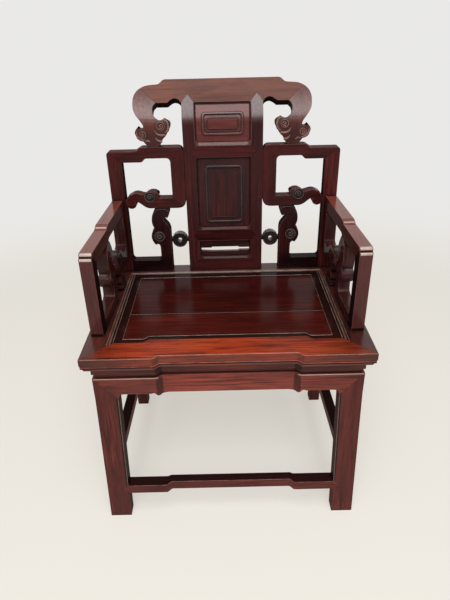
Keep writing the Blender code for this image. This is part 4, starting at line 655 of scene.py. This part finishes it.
members = {
    "crest_rail": (2.4, "crest", "x"),
    "crest_end": (2.4, "crestEnd", "z"),
    "splat_stile": (1.6, "stile", "z"),
    "splat_rail_upper": (1.0, "back", "x"),
    "splat_rail_lower": (1.0, "lowRail", "x"),
    "splat_rail_bottom": (1.0, "back", "x"),
    "splat_panel_top": (1.0, "topPanel", "x"),
    "splat_panel_middle": (1.0, "panel", "z"),
    "splat_panel_bottom": (0.6, "panel", "x"),
    "back_stile": (1.5, "back", "z"),
    "ear_rail": (1.5, "back", "x"),
    "ear_upright": (1.5, "back", "z"),
    "ear_scroll": (1.5, "back", "x"),
    "low_scroll": (1.5, "low", "z"),
    "base_rail": (1.5, "low", "x"),
    "disc": (1.0, "disc", "x"),
    "arm_rail": (1.8, "arm", "y"),
    "arm_post": (1.8, "armPost", "z"),
    "arm_upright": (1.5, "armInner", "z"),
    "arm_cloud": (1.5, "armInner", "y"),
    "arm_base": (1.5, "armInner", "y"),
    "arm_scroll": (1.5, "armInner", "z"),
    "seat_rail_front": (1.4, "seatFront", "x"),
    "seat_rail_rear": (1.4, "seatFrame", "x"),
    "seat_rail": (1.4, "seatFrame", "y"),
    "seat_board_front": (0.7, "seatFrontBoard", "x"),
    "seat_board_rear": (0.7, "seat", "x"),
    "seat_batten": (0.8, "seat", "y"),
    "waist_front": (0.8, "waist", "x"),
    "waist_rear": (0.8, "waist", "x"),
    "waist": (0.8, "waist", "y"),
    "apron_front": (1.6, "apron", "x"),
    "apron_rear": (1.6, "apron", "x"),
    "apron": (1.6, "apron", "y"),
    "leg_front": (1.5, "leg", "z"),
    "leg_rear": (1.5, "leg", "z"),
    "stretcher_front": (1.2, "leg", "x"),
    "stretcher_rear": (1.2, "leg", "x"),
    "stretcher": (1.2, "leg", "y"),
}
materials = {}


def stemOf(name):
    for side in ("_left", "_right"):
        if name.endswith(side):
            return name.removesuffix(side)
    return name


def woodFor(name, tone, grain):
    if name not in materials:
        materials[name] = woodMaterial(name + "_wood", tone, grain, len(materials) + 1)
    return materials[name]


def allSolidsTree():
    places, faces, owners = [], [], []
    for name, solid in solids.items():
        start = len(places)
        places += [vertex.co.copy() for vertex in solid.data.vertices]
        for polygon in solid.data.polygons:
            faces.append([start + index for index in polygon.vertices])
            owners.append(name)
    return BVHTree.FromPolygons(places, faces), owners


tree, owners = allSolidsTree()
# Only sharp edges that lie open are softened; lengths in mm
arris = {
    "sharp": math.radians(25),
    "flat": math.radians(0.2),      # triangles that differ by less are one face
    "inset": 0.6,                   # where beside the edge the look for a neighbour starts
    "lift": 0.05,
    "reach": 0.8,
}


# A face lies open where no neighbour stands right in front of it
def liesOpen(loop, name):
    start, end = loop.vert.co, loop.link_loop_next.vert.co
    normal = loop.face.normal
    inward = normal.cross(end - start).normalized()
    place = (start + end) / 2 + inward * arris["inset"] * mm + normal * arris["lift"] * mm
    hit = tree.ray_cast(place, normal, arris["reach"] * mm)
    return hit[0] is None or owners[hit[2]] == name


def isArris(edge, name):
    if len(edge.link_faces) != 2 or not edge.is_convex or edge.calc_face_angle(0) <= arris["sharp"]:
        return False
    return all(liesOpen(loop, name) for loop in edge.link_loops)


def softenEdges(shape, name, radius):
    shape.normal_update()
    arrises = [edge for edge in shape.edges if isArris(edge, name)]
    # Rounded faces get the lighter edge colour, part rubbing and part painted highlight
    wearAndHighlight = shape.faces.layers.float.new("edgeWearAndHighlight")
    rounded = bmesh.ops.bevel(shape, geom=arrises, offset=radius, offset_type="OFFSET",
                              segments=segments["arris"], profile=0.5, affect="EDGES",
                              clamp_overlap=True, material=-1)
    for face in rounded["faces"]:
        face[wearAndHighlight] = 1.0


def mergedCopy(name):
    shape = bmesh.new()
    shape.from_mesh(solids[name].data)
    bmesh.ops.remove_doubles(shape, verts=shape.verts, dist=near["solid"])
    bmesh.ops.dissolve_limit(shape, angle_limit=arris["flat"], verts=shape.verts, edges=shape.edges)
    return shape


# Faces darkened towards black, each by how much: mostly painted shade where little light falls
shadeAndGrimePlaces = {
    # the sunk margins of the seat board, darkened
    "seatMargin": 0.72,
    # the front face of the front rail, darkened
    "seatFrontEdge": 0.50,
    # painted shade on the ramps where the front steps back
    "frontStep": 0.62,
    # painted shadow at the foot of each arm post
    "armFoot": 0.95,
    # painted shade on the inner faces of the legs
    "legInside": 0.55,
    # painted shade on the tops of the stretchers, under the seat
    "stretcherTop": 0.85,
    # painted shade on the faces through the thickness of the back
    "backThickness": 0.93,
}
# Painted shade on the inner faces of the arm rails and arm posts
armInsideShade = {"arm_rail": 0.62, "arm_post": 0.86}
armFootTop = chair["seatTop"] + 0.0065
marginDepth = 1.0 * mm              # a seat board's face below this is its sunk margin
marginSheen = 1.0
backStems = ("crest", "ear", "low_scroll", "splat_stile", "back_stile", "base_rail", "disc")
steppedStems = ("apron_front", "waist_front", "seat_rail_front")
# How much of a face's direction has to point a way for the face to count: 1 is all of it
facing = {
    "inward": 0.8,
    "front": 0.5,
    "top": 0.8,
    "flat": 0.9,
    "rampFront": 0.3,               # a ramp of the stepped front looks both forward and sideways
    "rampSide": 0.25,
    "thicknessFront": 0.6,          # a face through the thickness of the back looks less than this
    "thicknessTop": 0.84,
}


def shadeAndGrimeOf(stem, side, normal, height):
    inward = normal.x * side < -facing["inward"]
    if stem.startswith("seat_board"):
        sunk = height < chair["seatTop"] - marginDepth and normal.z > facing["flat"]
        return shadeAndGrimePlaces["seatMargin"] if sunk else 0.0
    if stem in steppedStems and normal.y < -facing["rampFront"] and abs(normal.x) > facing["rampSide"]:
        return shadeAndGrimePlaces["frontStep"]
    if stem == "seat_rail_front":
        return shadeAndGrimePlaces["seatFrontEdge"] if normal.y < -facing["front"] else 0.0
    if stem == "arm_post" and height < armFootTop:
        return shadeAndGrimePlaces["armFoot"]
    if stem in armInsideShade:
        return armInsideShade[stem] if inward else 0.0
    if stem.startswith("leg"):
        return shadeAndGrimePlaces["legInside"] if inward else 0.0
    if stem.startswith("stretcher"):
        return shadeAndGrimePlaces["stretcherTop"] if normal.z > facing["top"] else 0.0
    through = abs(normal.y) < facing["thicknessFront"] and normal.z < facing["thicknessTop"]
    if stem.startswith(backStems) and through:
        return shadeAndGrimePlaces["backThickness"]
    return 0.0


# How far each member is polished: all round, on the front, on the top
sheenPlaces = {
    "seat_rail_front": (0.15, 0.70, 0.05),
    "seat_rail_rear": (0.15, 0.15, 0.24),
    "seat_rail": (0.15, 0.15, 0.42),
    "apron_front": (0.12, 0.15, 0.12),
    "arm_rail": (0.20, 0.75, 0.88),
    "arm_post": (0.20, 0.50, 0.30),
    "stretcher_front": (0.12, 0.34, 0.0),
    "splat_panel_top": (0.0, 0.18, 0.0),
    "arm_scroll": (0.22, 0.40, 0.80),
    "arm_cloud": (0.22, 0.40, 0.80),
    "arm_base": (0.20, 0.30, 0.60),
    "splat_panel_middle": (0.0, 0.06, 0.0),
    "leg_front": (0.20, 0.31, 0.0),
    "leg_rear": (0.20, 0.20, 0.0),
    "crest_rail": (0.14, 0.14, 0.20),
    "crest_end": (0.32, 0.32, 0.32),
    "seat_board_front": (0.0, 0.0, 0.26),
    "seat_board_rear": (0.0, 0.0, 0.26),
}
commonSheen = (0.20, 0.20, 0.20)


def sheenOf(stem, normal):
    plain, front, top = sheenPlaces.get(stem, commonSheen)
    if normal.y < -facing["front"]:
        return front
    return top if normal.z > facing["top"] else plain


# Each face gets its darkening, mostly painted shade, and its share of polish
def shadeAndPolish(shape, name):
    stem = stemOf(name)
    side = 1 if name.endswith("_right") else -1
    shadeAndGrime = shape.faces.layers.float.new("shadeAndGrime")
    sheen = shape.faces.layers.float.new("sheen")
    shape.normal_update()
    for face in shape.faces:
        face[shadeAndGrime] = shadeAndGrimeOf(stem, side, face.normal, face.calc_center_median().z)
        face[sheen] = sheenOf(stem, face.normal)
        if stem.startswith("seat_board") and face[shadeAndGrime] > 0:
            face[sheen] = marginSheen


sharpAngle = math.radians(35)       # shading runs smoothly over flatter edges


def finishPiece(shape, name, material, wornAndHighlit=0.0):
    # Extra pieces are lightened by the given amount, part rubbing and part painted highlight, less where they
    # are darkened
    if "edgeWearAndHighlight" not in shape.faces.layers.float:
        wearAndHighlight = shape.faces.layers.float.new("edgeWearAndHighlight")
        shadeAndGrime = shape.faces.layers.float.get("shadeAndGrime")
        for face in shape.faces:
            face[wearAndHighlight] = wornAndHighlit * (1 - face[shadeAndGrime]) if shadeAndGrime else wornAndHighlit
    shape.normal_update()
    for face in shape.faces:
        face.smooth = True
    for edge in shape.edges:
        edge.smooth = len(edge.link_faces) != 2 or edge.calc_face_angle(0) < sharpAngle
    mesh = bpy.data.meshes.new(name)
    shape.to_mesh(mesh)
    shape.free()
    for attributeName in ("custom_normal", "sharp_face"):
        if attributeName in mesh.attributes:
            mesh.attributes.remove(mesh.attributes[attributeName])
    mesh.materials.append(material)
    piece = addObject(name, mesh)
    even = piece.modifiers.new("even shading", "WEIGHTED_NORMAL")
    even.keep_sharp = True
    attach(piece, "root")
    return piece


def dressMembers():
    for name in sorted(solids):
        stem = stemOf(name)
        edge, tone, grain = members[stem]
        shape = mergedCopy(name)
        # The post is cut where the painted shadow at its foot ends
        if stem == "arm_post":
            cutLevel(shape, (0, 0, armFootTop), (0, 0, 1))
        softenEdges(shape, name, edge * mm)
        shadeAndPolish(shape, name)
        piece = finishPiece(shape, name + "_finished", woodFor(stem, tone, grain))
        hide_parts(name)
    print("members softened and polished")


# Carving on both sides, drawn for the right-hand one
def carveBoth(stem, build, tone="curl", wornAndHighlit=0.45):
    for side in ("right", "left"):
        shape = build()
        if side == "left":
            mirrorShape(shape)
        finishPiece(shape, stem + "_" + side, woodFor(stem, tone, "x"), wornAndHighlit)


# Carving on the back. A stroke has its knots in metres and its radii in mm,
# a spiral its place in metres, radius in mm, start angle and sense
crestCarving = {
    "spirals": [(0.1524, 0.8906, 10.4, -60, -1), (0.1987, 0.8704, 8.8, 240, 1)],
    # how dark the painted shade under the spirals is
    "shadeAndGrime": 0.88,
    "strokes": [
        ([(0.1442, 0.9060), (0.1362, 0.9000), (0.1340, 0.8901), (0.1368, 0.8795), (0.1440, 0.8745)],
         (1.0, 2.4, 2.8, 2.4, 0.8)),
        ([(0.1684, 0.8800), (0.1629, 0.8719), (0.1521, 0.8685), (0.1425, 0.8705)], (0.6, 2.2, 3.0, 1.4)),
        ([(0.1675, 0.8628), (0.1629, 0.8574), (0.1557, 0.8540), (0.1511, 0.8552)], (0.6, 2.0, 2.8, 1.4)),
        ([(0.1938, 0.8545), (0.1865, 0.8560), (0.1802, 0.8525)], (0.8, 2.4, 0.8)),
        ([(0.2140, 0.8790), (0.2125, 0.8710), (0.2085, 0.8628), (0.1992, 0.8580), (0.1929, 0.8592)],
         (0.8, 2.2, 2.6, 2.2, 0.6)),
    ],
    "flatness": 0.55,
    # width of the painted shade round each stroke, in mm
    "groove": 1.1,
}
# The second entry of each is how dark the painted shade under the spiral is
earCurl = {"spirals": [(0.195, 0.7132, 14.5, 200, -1)], "shadeAndGrime": 0.90}
lowCurl = {"spirals": [(0.178, 0.602, 14, 90, -1)], "shadeAndGrime": 0.90}
# Rim round the head of the low scroll, with a dark band of painted shade parting it from the frame above
lowHead = {
    "strokes": [
        ([(0.1900, 0.6630), (0.1865, 0.6715), (0.1795, 0.6775), (0.1660, 0.6785), (0.1550, 0.6770),
          (0.1504, 0.6705), (0.1510, 0.6620)],
         (0.7, 1.0, 1.2, 1.2, 1.2, 1.1, 0.7)),
    ],
    "flatness": 0.60,
    # width of the painted shade round the rim, in mm
    "groove": 1.5,
}


def onBack(work):
    def build():
        shape = bmesh.new()
        carveInto(shape, work, standOnBack)
        leanShape(shape)
        return shape
    return build


# Sections of the lines: inward, up, and further up at the foot, in mm
# A flat ring darkened to black: painted shade
shadeRingSteps = [(1.0, 0.12, 0), (1.0, -0.12, 0)]
wideBead = [(0.1, 0.9, 0), (0.4, 0.5, 0), (0.7, 0.3, 0), (1.4, 0.1, 0),
            (1.4, -0.1, 0), (0.7, -0.3, 0), (0.4, -0.5, 0), (0.1, -0.9, 0)]
fineBead = [(0.1, 0.7, 0), (0.4, 0.5, 0), (0.5, 0.1, 0), (0.5, -0.1, 0), (0.4, -0.5, 0), (0.1, -0.7, 0)]
lipSteps = [(0.5, -0.2, 0.3), (0.6, -0.8, 1.0), (0.6, -1.2, 1.6), (0.6, -1.5, 1.8), (0.5, -1.7, 1.0)]

coveWidth = sum(inward for inward, rise, lift in lipSteps)

# Cove, rim and a dark ring of painted shade that lead from the frame into a sunk panel
panelLips = {
    "openingHalf": 0.0703,
    # how far outside the opening, radii of the low and high corners, how much flatter
    # and higher the opening is taken, setback, all in mm, and how light the edges are
    "cove": (0.0, (13, 5), 0.0, 0.0, 0.6, 0.12),
    "rim": (1.2, (8, 4), 0.0, 0.0, 0.5, 0.40),
    # the dark ring is painted shade
    "groove": (-coveWidth, (10, 4), 2.6, 2.4, 5.8, 0.0),
    # opening from and to, in metres, slot, name, wood and how broad the foot of the cove is
    "panels": [
        (0.8405, 0.9464, "splat_rail_upper", "top_panel_lip", "lip", 1.0),
        (0.6175, 0.8115, "splat_rail_lower", "middle_panel_lip", "lowLip", 0.75),
        (0.5325, 0.5865, "splat_rail_bottom", "bottom_panel_lip", "lowLip", 0.6),
    ],
}


def panelLine(key, low, high, steps, name, material):
    outside, (lowRadius, highRadius), flatter, higher, setback, wornAndHighlit = panelLips[key]
    halfHeight = (high - low) / 2 + outside * mm - flatter * mm
    line = mouldedRing(panelLips["openingHalf"] + outside * mm, halfHeight, lowRadius * mm, highRadius * mm,
                       steps, spandrel=key == "cove")
    standOnBack(line, 0, (low + high) / 2 + higher * mm, setback * mm)
    leanShape(line)
    finishPiece(line, name, material, wornAndHighlit)


def panelLip(low, high, slotName, name, tone, foot):
    cove = [(inward, rise, lift * foot) for inward, rise, lift in lipSteps]
    panelLine("cove", low, high, cove, name, woodFor("panel_" + tone, tone, "x"))
    panelLine("rim", low, high, fineBead, name + "_rim", woodFor("panel_rim_" + tone, tone, "x"))
    panelLine("groove", low, high, shadeRingSteps, name + "_groove", woodFor("panel_groove", "groove", "x"))


# A rounded bead over the raised band, a fine one round the raised field, black rings of painted shade at
# their feet
panelBeads = {
    # how far inside the band, radius of the corners, section, setback, in mm
    "lines": [
        (-0.1, 9.1, wideBead, 3.2),
        (14.0, 6.5, fineBead, 3.2),
        # the last three are flat rings darkened to black: painted shade
        (-2.2, 11.2, shadeRingSteps, 5.9),
        (5.2, 6.0, shadeRingSteps, 5.9),
        (12.0, 7.5, shadeRingSteps, 5.9),
    ],
    # height of the middle in metres, half width and half height of the band in mm, slot, name, wood
    "panels": [
        (0.8935, 51.5, 27.5, "splat_panel_top", "top_panel_beads", "topBead"),
        (0.7145, 48, 76, "splat_panel_middle", "middle_panel_beads", "middleBead"),
    ],
    "wearAndHighlight": 0.15,
}


def beadPanel(middle, halfWidth, halfHeight, slotName, name, tone):
    shape = bmesh.new()
    for inset, radius, steps, setback in panelBeads["lines"]:
        line = mouldedRing(halfWidth * mm - inset * mm, halfHeight * mm - inset * mm,
                           radius * mm, radius * mm, steps)
        if steps is shadeRingSteps:
            paintShade(line)
        standOnBack(line, 0, middle, setback * mm)
        addShape(shape, line)
    leanShape(shape)
    finishPiece(shape, name, woodFor(name, tone, "x"), panelBeads["wearAndHighlight"])


# Rim and hole's edge turned on the pierced disc: place in metres, radius and thickness in mm
discWork = {
    "place": (0.12365, 0.5885),
    "setback": 5.0,
    "flatness": 0.9,
    "rings": [(18.8, 1.5), (8.2, 1.3)],
}


def discRings():
    shape = bmesh.new()
    x, z = discWork["place"]
    for radius, thickness in discWork["rings"]:
        line = ring(radius * mm, thickness * mm, discWork["flatness"])
        standOnBack(line, x, z, discWork["setback"] * mm)
        addShape(shape, line)
    return shape


def dressBack():
    carveBoth("disc_rings", discRings, "disc", wornAndHighlit=0.20)
    carveBoth("crest_end_carving", onBack(crestCarving), "crestCurl")
    carveBoth("ear_curl", onBack(earCurl))
    carveBoth("low_curl", onBack(lowCurl))
    carveBoth("low_head", onBack(lowHead), "curl", wornAndHighlit=0.15)
    for panel in panelLips["panels"]:
        panelLip(*panel)
    for panel in panelBeads["panels"]:
        beadPanel(*panel)
    print("back carved")


# Arms: pale bands of painted highlight and dark bands of painted shade across the rail, and the carving on
# both faces of the scrolls

# y and height in metres, radius in mm; a rod's start and length across the arm
armRodWork = {
    # pale rods: painted highlight on the rounded corners of the rail
    "highlightBands": [(-0.1499, 0.6931, 5.0), (-0.1561, 0.6840, 4.2), (-0.0085, 0.6985, 3.6)],
    # dark rods between them: painted shade
    "shadeBands": [(-0.1556, 0.6900, 1.1), (-0.0178, 0.6972, 1.3), (0.0010, 0.7044, 1.0)],
    "band": (0.2683, 0.0249),
    "knobs": [(0.0640, 0.5110, 5.9), (0.0605, 0.5285, 5.0)],
    "knob": (0.2660, 0.0295),
    "knobPlaces": (0, 0.06, 0.2, 0.5, 0.8, 0.94, 1),    # along the knob, as shares
    "knobRadii": (0.72, 1, 1.04, 1, 0.72),              # from end to end, as shares
}
# On both arm carvings the spirals' grounds and the bands round the strokes are darkened as painted shade
armScrollCarving = {
    "spirals": [(-0.0325, 0.5775, 10.0, 90, -1), (-0.0255, 0.6390, 9.0, 90, -1)],
    "shadeAndGrime": 0.90,
}
armCloudCarving = {
    "spirals": [(0.0410, 0.5780, 12.0, 90, -1), (0.0655, 0.5110, 6.0, 90, -1), (0.1000, 0.5110, 6.0, 90, -1)],
    "shadeAndGrime": 0.90,
    "strokes": [
        ([(0.060, 0.590), (0.074, 0.595), (0.088, 0.590), (0.096, 0.580)], (0.8, 2.6, 3.0, 1.0)),
        ([(0.066, 0.572), (0.080, 0.576), (0.094, 0.570), (0.104, 0.560)], (0.8, 2.6, 3.0, 1.0)),
    ],
    "flatness": 0.55,
    # width of the painted shade round each stroke, in mm
    "groove": 1.1,
}


def armRods(rows, reach, places=(0, 1), radii=(1, 1)):
    def build():
        start, length = armRodWork[reach]
        shape = bmesh.new()
        for y, z, radius in armRodWork[rows]:
            line = [(start + length * share, y, z) for share in places]
            addShape(shape, rod(line, [radius * share for share in radii], resolution=6))
        turnArmOut(shape)
        return shape
    return build


def onArm(work):
    def build():
        shape = bmesh.new()
        for side in (1, -1):
            carveInto(shape, work, lambda line, y, z: standOnArm(line, y, z, side), side)
        return shape
    return build


def dressArms():
    carveBoth("arm_highlight_bands", armRods("highlightBands", "band"), "glint", wornAndHighlit=0.5)
    carveBoth("arm_shade_bands", armRods("shadeBands", "band"), "groove", wornAndHighlit=0.0)
    carveBoth("arm_scroll_curls", onArm(armScrollCarving), "armCurl")
    carveBoth("arm_cloud_curls", onArm(armCloudCarving), "armCurl")
    knobs = armRods("knobs", "knob", armRodWork["knobPlaces"], armRodWork["knobRadii"])
    carveBoth("arm_cloud_knobs", knobs, "armCurl", wornAndHighlit=0.2)
    print("arms carved")


# Lines worked along the seat, the apron and the legs: radii and insets in mm

seatLines = {
    "sideLines": (0.2640, 0.2585, 0.2515),      # x of the lines along the side rails
    "sideRadius": 0.95,
    "sideFront": 1.5,                           # how far from the mitre they start
    "sideRear": 4,                              # how far past the rear rail's edge they run
    "rise": -0.15,                              # of a line's middle over the seat
    "fieldInset": (0.024, 0.013, 0.026),        # side, front and rear margins of the seat board
    "fieldRadius": 0.6,
    "rearHalf": 0.262,
    "rearBead": (5, 2, 4.5),                    # behind the rail's edge, below the lines, radius
    "jointHalf": 0.232,
    "jointY": -0.0659,
    "jointRadius": 0.4,
}
# Lines across the front: how far inside the end, behind the front, height in metres, radius,
# wood and how light the edges are
frontLines = {
    # a pale rod along the top arris: painted highlight
    "arris": (2.5, 0.9, chair["seatTop"] - 0.9 * mm, 0.8, "bead", 0.6),
    # a dark rod under the seat edge: painted shade
    "groove": (1.5, 1.5, 0.4790 - 2.6 * mm, 1.4, "groove", 0.0),
    "bead": (1.5, 1.4, 0.4790, 1.3, "apron", 0.75),
}
apronBead = {"inset": 2.0, "setback": 2.4, "height": 0.4270, "radius": 3.2}
# A pale shiny rod on the bead's outer lengths: painted highlight
apronGleam = {"forward": 2.0, "rise": 1.6, "radius": 1.3}


# A line along the front that steps back between -stepX and stepX
def steppedLine(halfLength, y, stepX, height):
    right = []
    for step in range(chair["recessSteps"] + 1):
        share = step / chair["recessSteps"]
        eased = (1 - math.cos(math.pi * share)) / 2
        x = stepX + chair["recessRamp"] * (share - 0.5)
        right.append((x, y + chair["recessDepth"] * (1 - eased), height))
    left = [(-x, placeY, z) for x, placeY, z in reversed(right)]
    return [(-halfLength, y, height)] + left + right + [(halfLength, y, height)]


def across(halfLength, y, z):
    return [(-halfLength, y, z), (halfLength, y, z)]


def layLine(name, places, radius, tone, wornAndHighlit, closed=False, resolution=3):
    shape = rod(places, (radius, radius), closed, resolution)
    finishPiece(shape, name, woodFor(name, tone, "x"), wornAndHighlit)


def sideLines(sign, top, railEdge):
    lines = bmesh.new()
    for x in seatLines["sideLines"]:
        start = chair["frontY"] + (chair["seatHalfWidth"] - x) + seatLines["sideFront"] * mm
        end = railEdge + seatLines["sideRear"] * mm
        radius = seatLines["sideRadius"]
        addShape(lines, rod([(sign * x, start, top), (sign * x, end, top)], (radius, radius)))
    return lines


def fieldOutline(top, railEdge):
    sideInset, frontInset, rearInset = seatLines["fieldInset"]
    halfField = chair["seatHalfWidth"] - chair["seatRail"] - sideInset
    fieldFront = chair["frontY"] + chair["frontRail"] + frontInset
    fieldRear = railEdge - rearInset
    outline = steppedLine(halfField, fieldFront, chair["panelStepX"], top)
    return outline + [(halfField, fieldRear, top), (-halfField, fieldRear, top)]


def frontLine(key):
    inset, setback, height, radius, tone, wornAndHighlit = frontLines[key]
    places = steppedLine(chair["seatHalfWidth"] - inset * mm, chair["frontY"] + setback * mm,
                         chair["recessX"], height)
    layLine("seat_front_" + key, places, radius, tone, wornAndHighlit)


def dressSeat():
    top = chair["seatTop"] + seatLines["rise"] * mm
    railEdge = chair["rearY"] - chair["seatRail"]
    # The seat's pale lines are beads whose colour is partly a painted highlight
    for side, sign in (("right", 1), ("left", -1)):
        finishPiece(sideLines(sign, top, railEdge), "seat_side_lines_" + side,
                    woodFor("seat_side_lines", "bead", "y"), wornAndHighlit=0.9)
    layLine("seat_field_line", fieldOutline(top, railEdge), seatLines["fieldRadius"], "bead",
            wornAndHighlit=1.0, closed=True)
    behind, below, radius = seatLines["rearBead"]
    rear = across(seatLines["rearHalf"], railEdge + behind * mm, top - below * mm)
    layLine("seat_rear_bead", rear, radius, "bead", wornAndHighlit=0.7)
    frontLine("arris")
    frontLine("groove")
    joint = across(seatLines["jointHalf"], seatLines["jointY"], top)
    layLine("seat_joint_line", joint, seatLines["jointRadius"], "bead",
            wornAndHighlit=0.5)
    frontLine("bead")
    print("seat lines laid")


def dressApron():
    bead = steppedLine(chair["frameHalfWidth"] - apronBead["inset"] * mm,
                       chair["legFrontY"] + apronBead["setback"] * mm, chair["recessX"], apronBead["height"])
    layLine("apron_bead", bead, apronBead["radius"], "apron", wornAndHighlit=0.3,
            resolution=5)
    for side, sign in (("right", 1), ("left", -1)):
        gleam = [(x, y - apronGleam["forward"] * mm, z + apronGleam["rise"] * mm)
                 for x, y, z in bead if sign * x > chair["recessX"]]
        layLine("apron_gleam_" + side, gleam, apronGleam["radius"], "glint", wornAndHighlit=0.3)
    print("apron lined")


# A fine pale bead, its colour partly a painted highlight, and a dark rod of painted shade down the inner edge
# of each front leg
legBead = {
    "foot": (0.2555, -0.2301, 0.1065),
    "top": (0.2490, -0.2244, 0.3720),
    "bead": 1.0,
    "groove": 0.75,
    "shadeLineInset": 2.6,
}


def legEdge(inset, radius):
    def build():
        places = [(x + inset * mm, y, z) for x, y, z in (legBead["foot"], legBead["top"])]
        return rod(places, (radius, radius))
    return build


def dressLegs():
    carveBoth("leg_bead", legEdge(0, legBead["bead"]), "bead", wornAndHighlit=0.35)
    groove = legEdge(legBead["shadeLineInset"], legBead["groove"])
    carveBoth("leg_groove", groove, "groove", wornAndHighlit=0.0)
    print("legs lined")


# Camera and light: angles in degrees, lens and sensor in mm

cameraSetting = {
    "place": (-0.00203, -1.13017, 1.11322),
    "pitch": -28.539,
    "roll": 1.351,
    "yaw": 0.098,
    "lens": 30.72,
    "sensorHeight": 36,
}


def setCamera():
    data = bpy.data.cameras.new("camera")
    data.lens = cameraSetting["lens"]
    data.sensor_fit = "VERTICAL"
    data.sensor_height = cameraSetting["sensorHeight"]
    camera = addObject("camera", data)
    turn = (Matrix.Rotation(math.radians(cameraSetting["yaw"]), 4, "Z")
            @ Matrix.Rotation(math.radians(cameraSetting["pitch"]), 4, "X")
            @ Matrix.Rotation(math.radians(cameraSetting["roll"]), 4, "Y")
            @ Matrix.Rotation(math.radians(90), 4, "X"))
    camera.matrix_world = Matrix.Translation(cameraSetting["place"]) @ turn
    bpy.context.scene.camera = camera


studio = {
    "floorHalf": 12,
    "floorColour": (0.80, 0.78, 0.73),
    "floorRoughness": 0.9,
    "floorNear": (0.86, 0.82, 0.735),
    "nearShare": 0.58,
    "farFrom": 0.9,
    "farTo": 2.8,
    "backgroundColour": (0.82, 0.815, 0.805),
    "ambientColour": (1, 0.99, 0.97),
    "ambient": 0.20,
}
lamps = {
    "front": {"place": (0.0, -2.6, 3.0), "aim": (0, 0.1, 0.9), "size": (2.4, 2.6), "power": 125},
    "top": {"place": (0.0, -1.0, 3.3), "aim": (0, 0, 0.5), "size": (2.4, 0.9), "power": 32},
    "rear": {"place": (0.0, 3.4, 0.55), "aim": (0, 0, 0.6), "size": (4.4, 0.9), "power": 26},
    "left": {"place": (-3.4, 0.6, 0.9), "aim": (0, 0.1, 0.5), "size": (2.6, 1.4), "power": 14},
    "right": {"place": (3.4, 0.6, 0.9), "aim": (0, 0.1, 0.5), "size": (2.6, 1.4), "power": 14},
}


def addLamp(name, setting):
    data = bpy.data.lights.new(name, "AREA")
    data.shape = "RECTANGLE"
    data.size, data.size_y = setting["size"]
    data.energy = setting["power"]
    lamp = addObject(name, data)
    direction = Vector(setting["aim"]) - Vector(setting["place"])
    turn = direction.to_track_quat("-Z", "Y").to_matrix().to_4x4()
    lamp.matrix_world = Matrix.Translation(setting["place"]) @ turn
    lamp.visible_camera = False


# The camera and reflections see the pale background; other light from the world is softer
def setWorld():
    world = bpy.data.worlds.new("studio")
    bpy.context.scene.world = world
    world.use_nodes = True
    graph = Graph(world)
    soft = graph.nodes["Background"]
    setInputs(soft, {"Color": studio["ambientColour"] + (1,), "Strength": studio["ambient"]})
    pale = graph.add("ShaderNodeBackground")
    setInputs(pale, {"Color": studio["backgroundColour"] + (1,)})
    mixed = graph.mixShaders(graph.seenDirectly(), soft, pale)
    graph.wire(mixed, graph.nodes["World Output"], "Surface")


# The floor fades into the background with its distance, and keeps the chair's shadow
def clothMaterial():
    material = bpy.data.materials.new("floor_cloth")
    material.use_nodes = True
    graph = Graph(material)
    cloth = graph.nodes["Principled BSDF"]
    setInputs(cloth, {"Base Color": studio["floorColour"] + (1,), "Roughness": studio["floorRoughness"]})
    reach = graph.add("ShaderNodeVectorMath", operation="LENGTH")
    graph.wire(graph.add("ShaderNodeTexCoord").outputs["Object"], reach, "Vector")
    far = graph.spread(reach.outputs["Value"], studio["farFrom"], studio["farTo"])
    plain = graph.add("ShaderNodeEmission")
    graph.wire(graph.blend(far, studio["floorNear"], studio["backgroundColour"]), plain, "Color")
    share = graph.times(graph.seenDirectly(), graph.spread(far, 0.0, 1.0, studio["nearShare"], 1.0))
    mixed = graph.mixShaders(share, cloth, plain)
    graph.wire(mixed, graph.nodes["Material Output"], "Surface")
    return material


def setFloor():
    shape = bmesh.new()
    bmesh.ops.create_grid(shape, x_segments=1, y_segments=1, size=studio["floorHalf"])
    mesh = bpy.data.meshes.new("floor")
    shape.to_mesh(mesh)
    shape.free()
    mesh.materials.append(clothMaterial())
    floor = addObject("floor", mesh)


def setStudio():
    setWorld()
    setFloor()
    for name, setting in lamps.items():
        addLamp(name, setting)
    bpy.context.scene.view_settings.view_transform = "Standard"
    print("studio ready")


setCamera()
dressMembers()
dressBack()
dressArms()
dressSeat()
dressApron()
dressLegs()
setStudio()
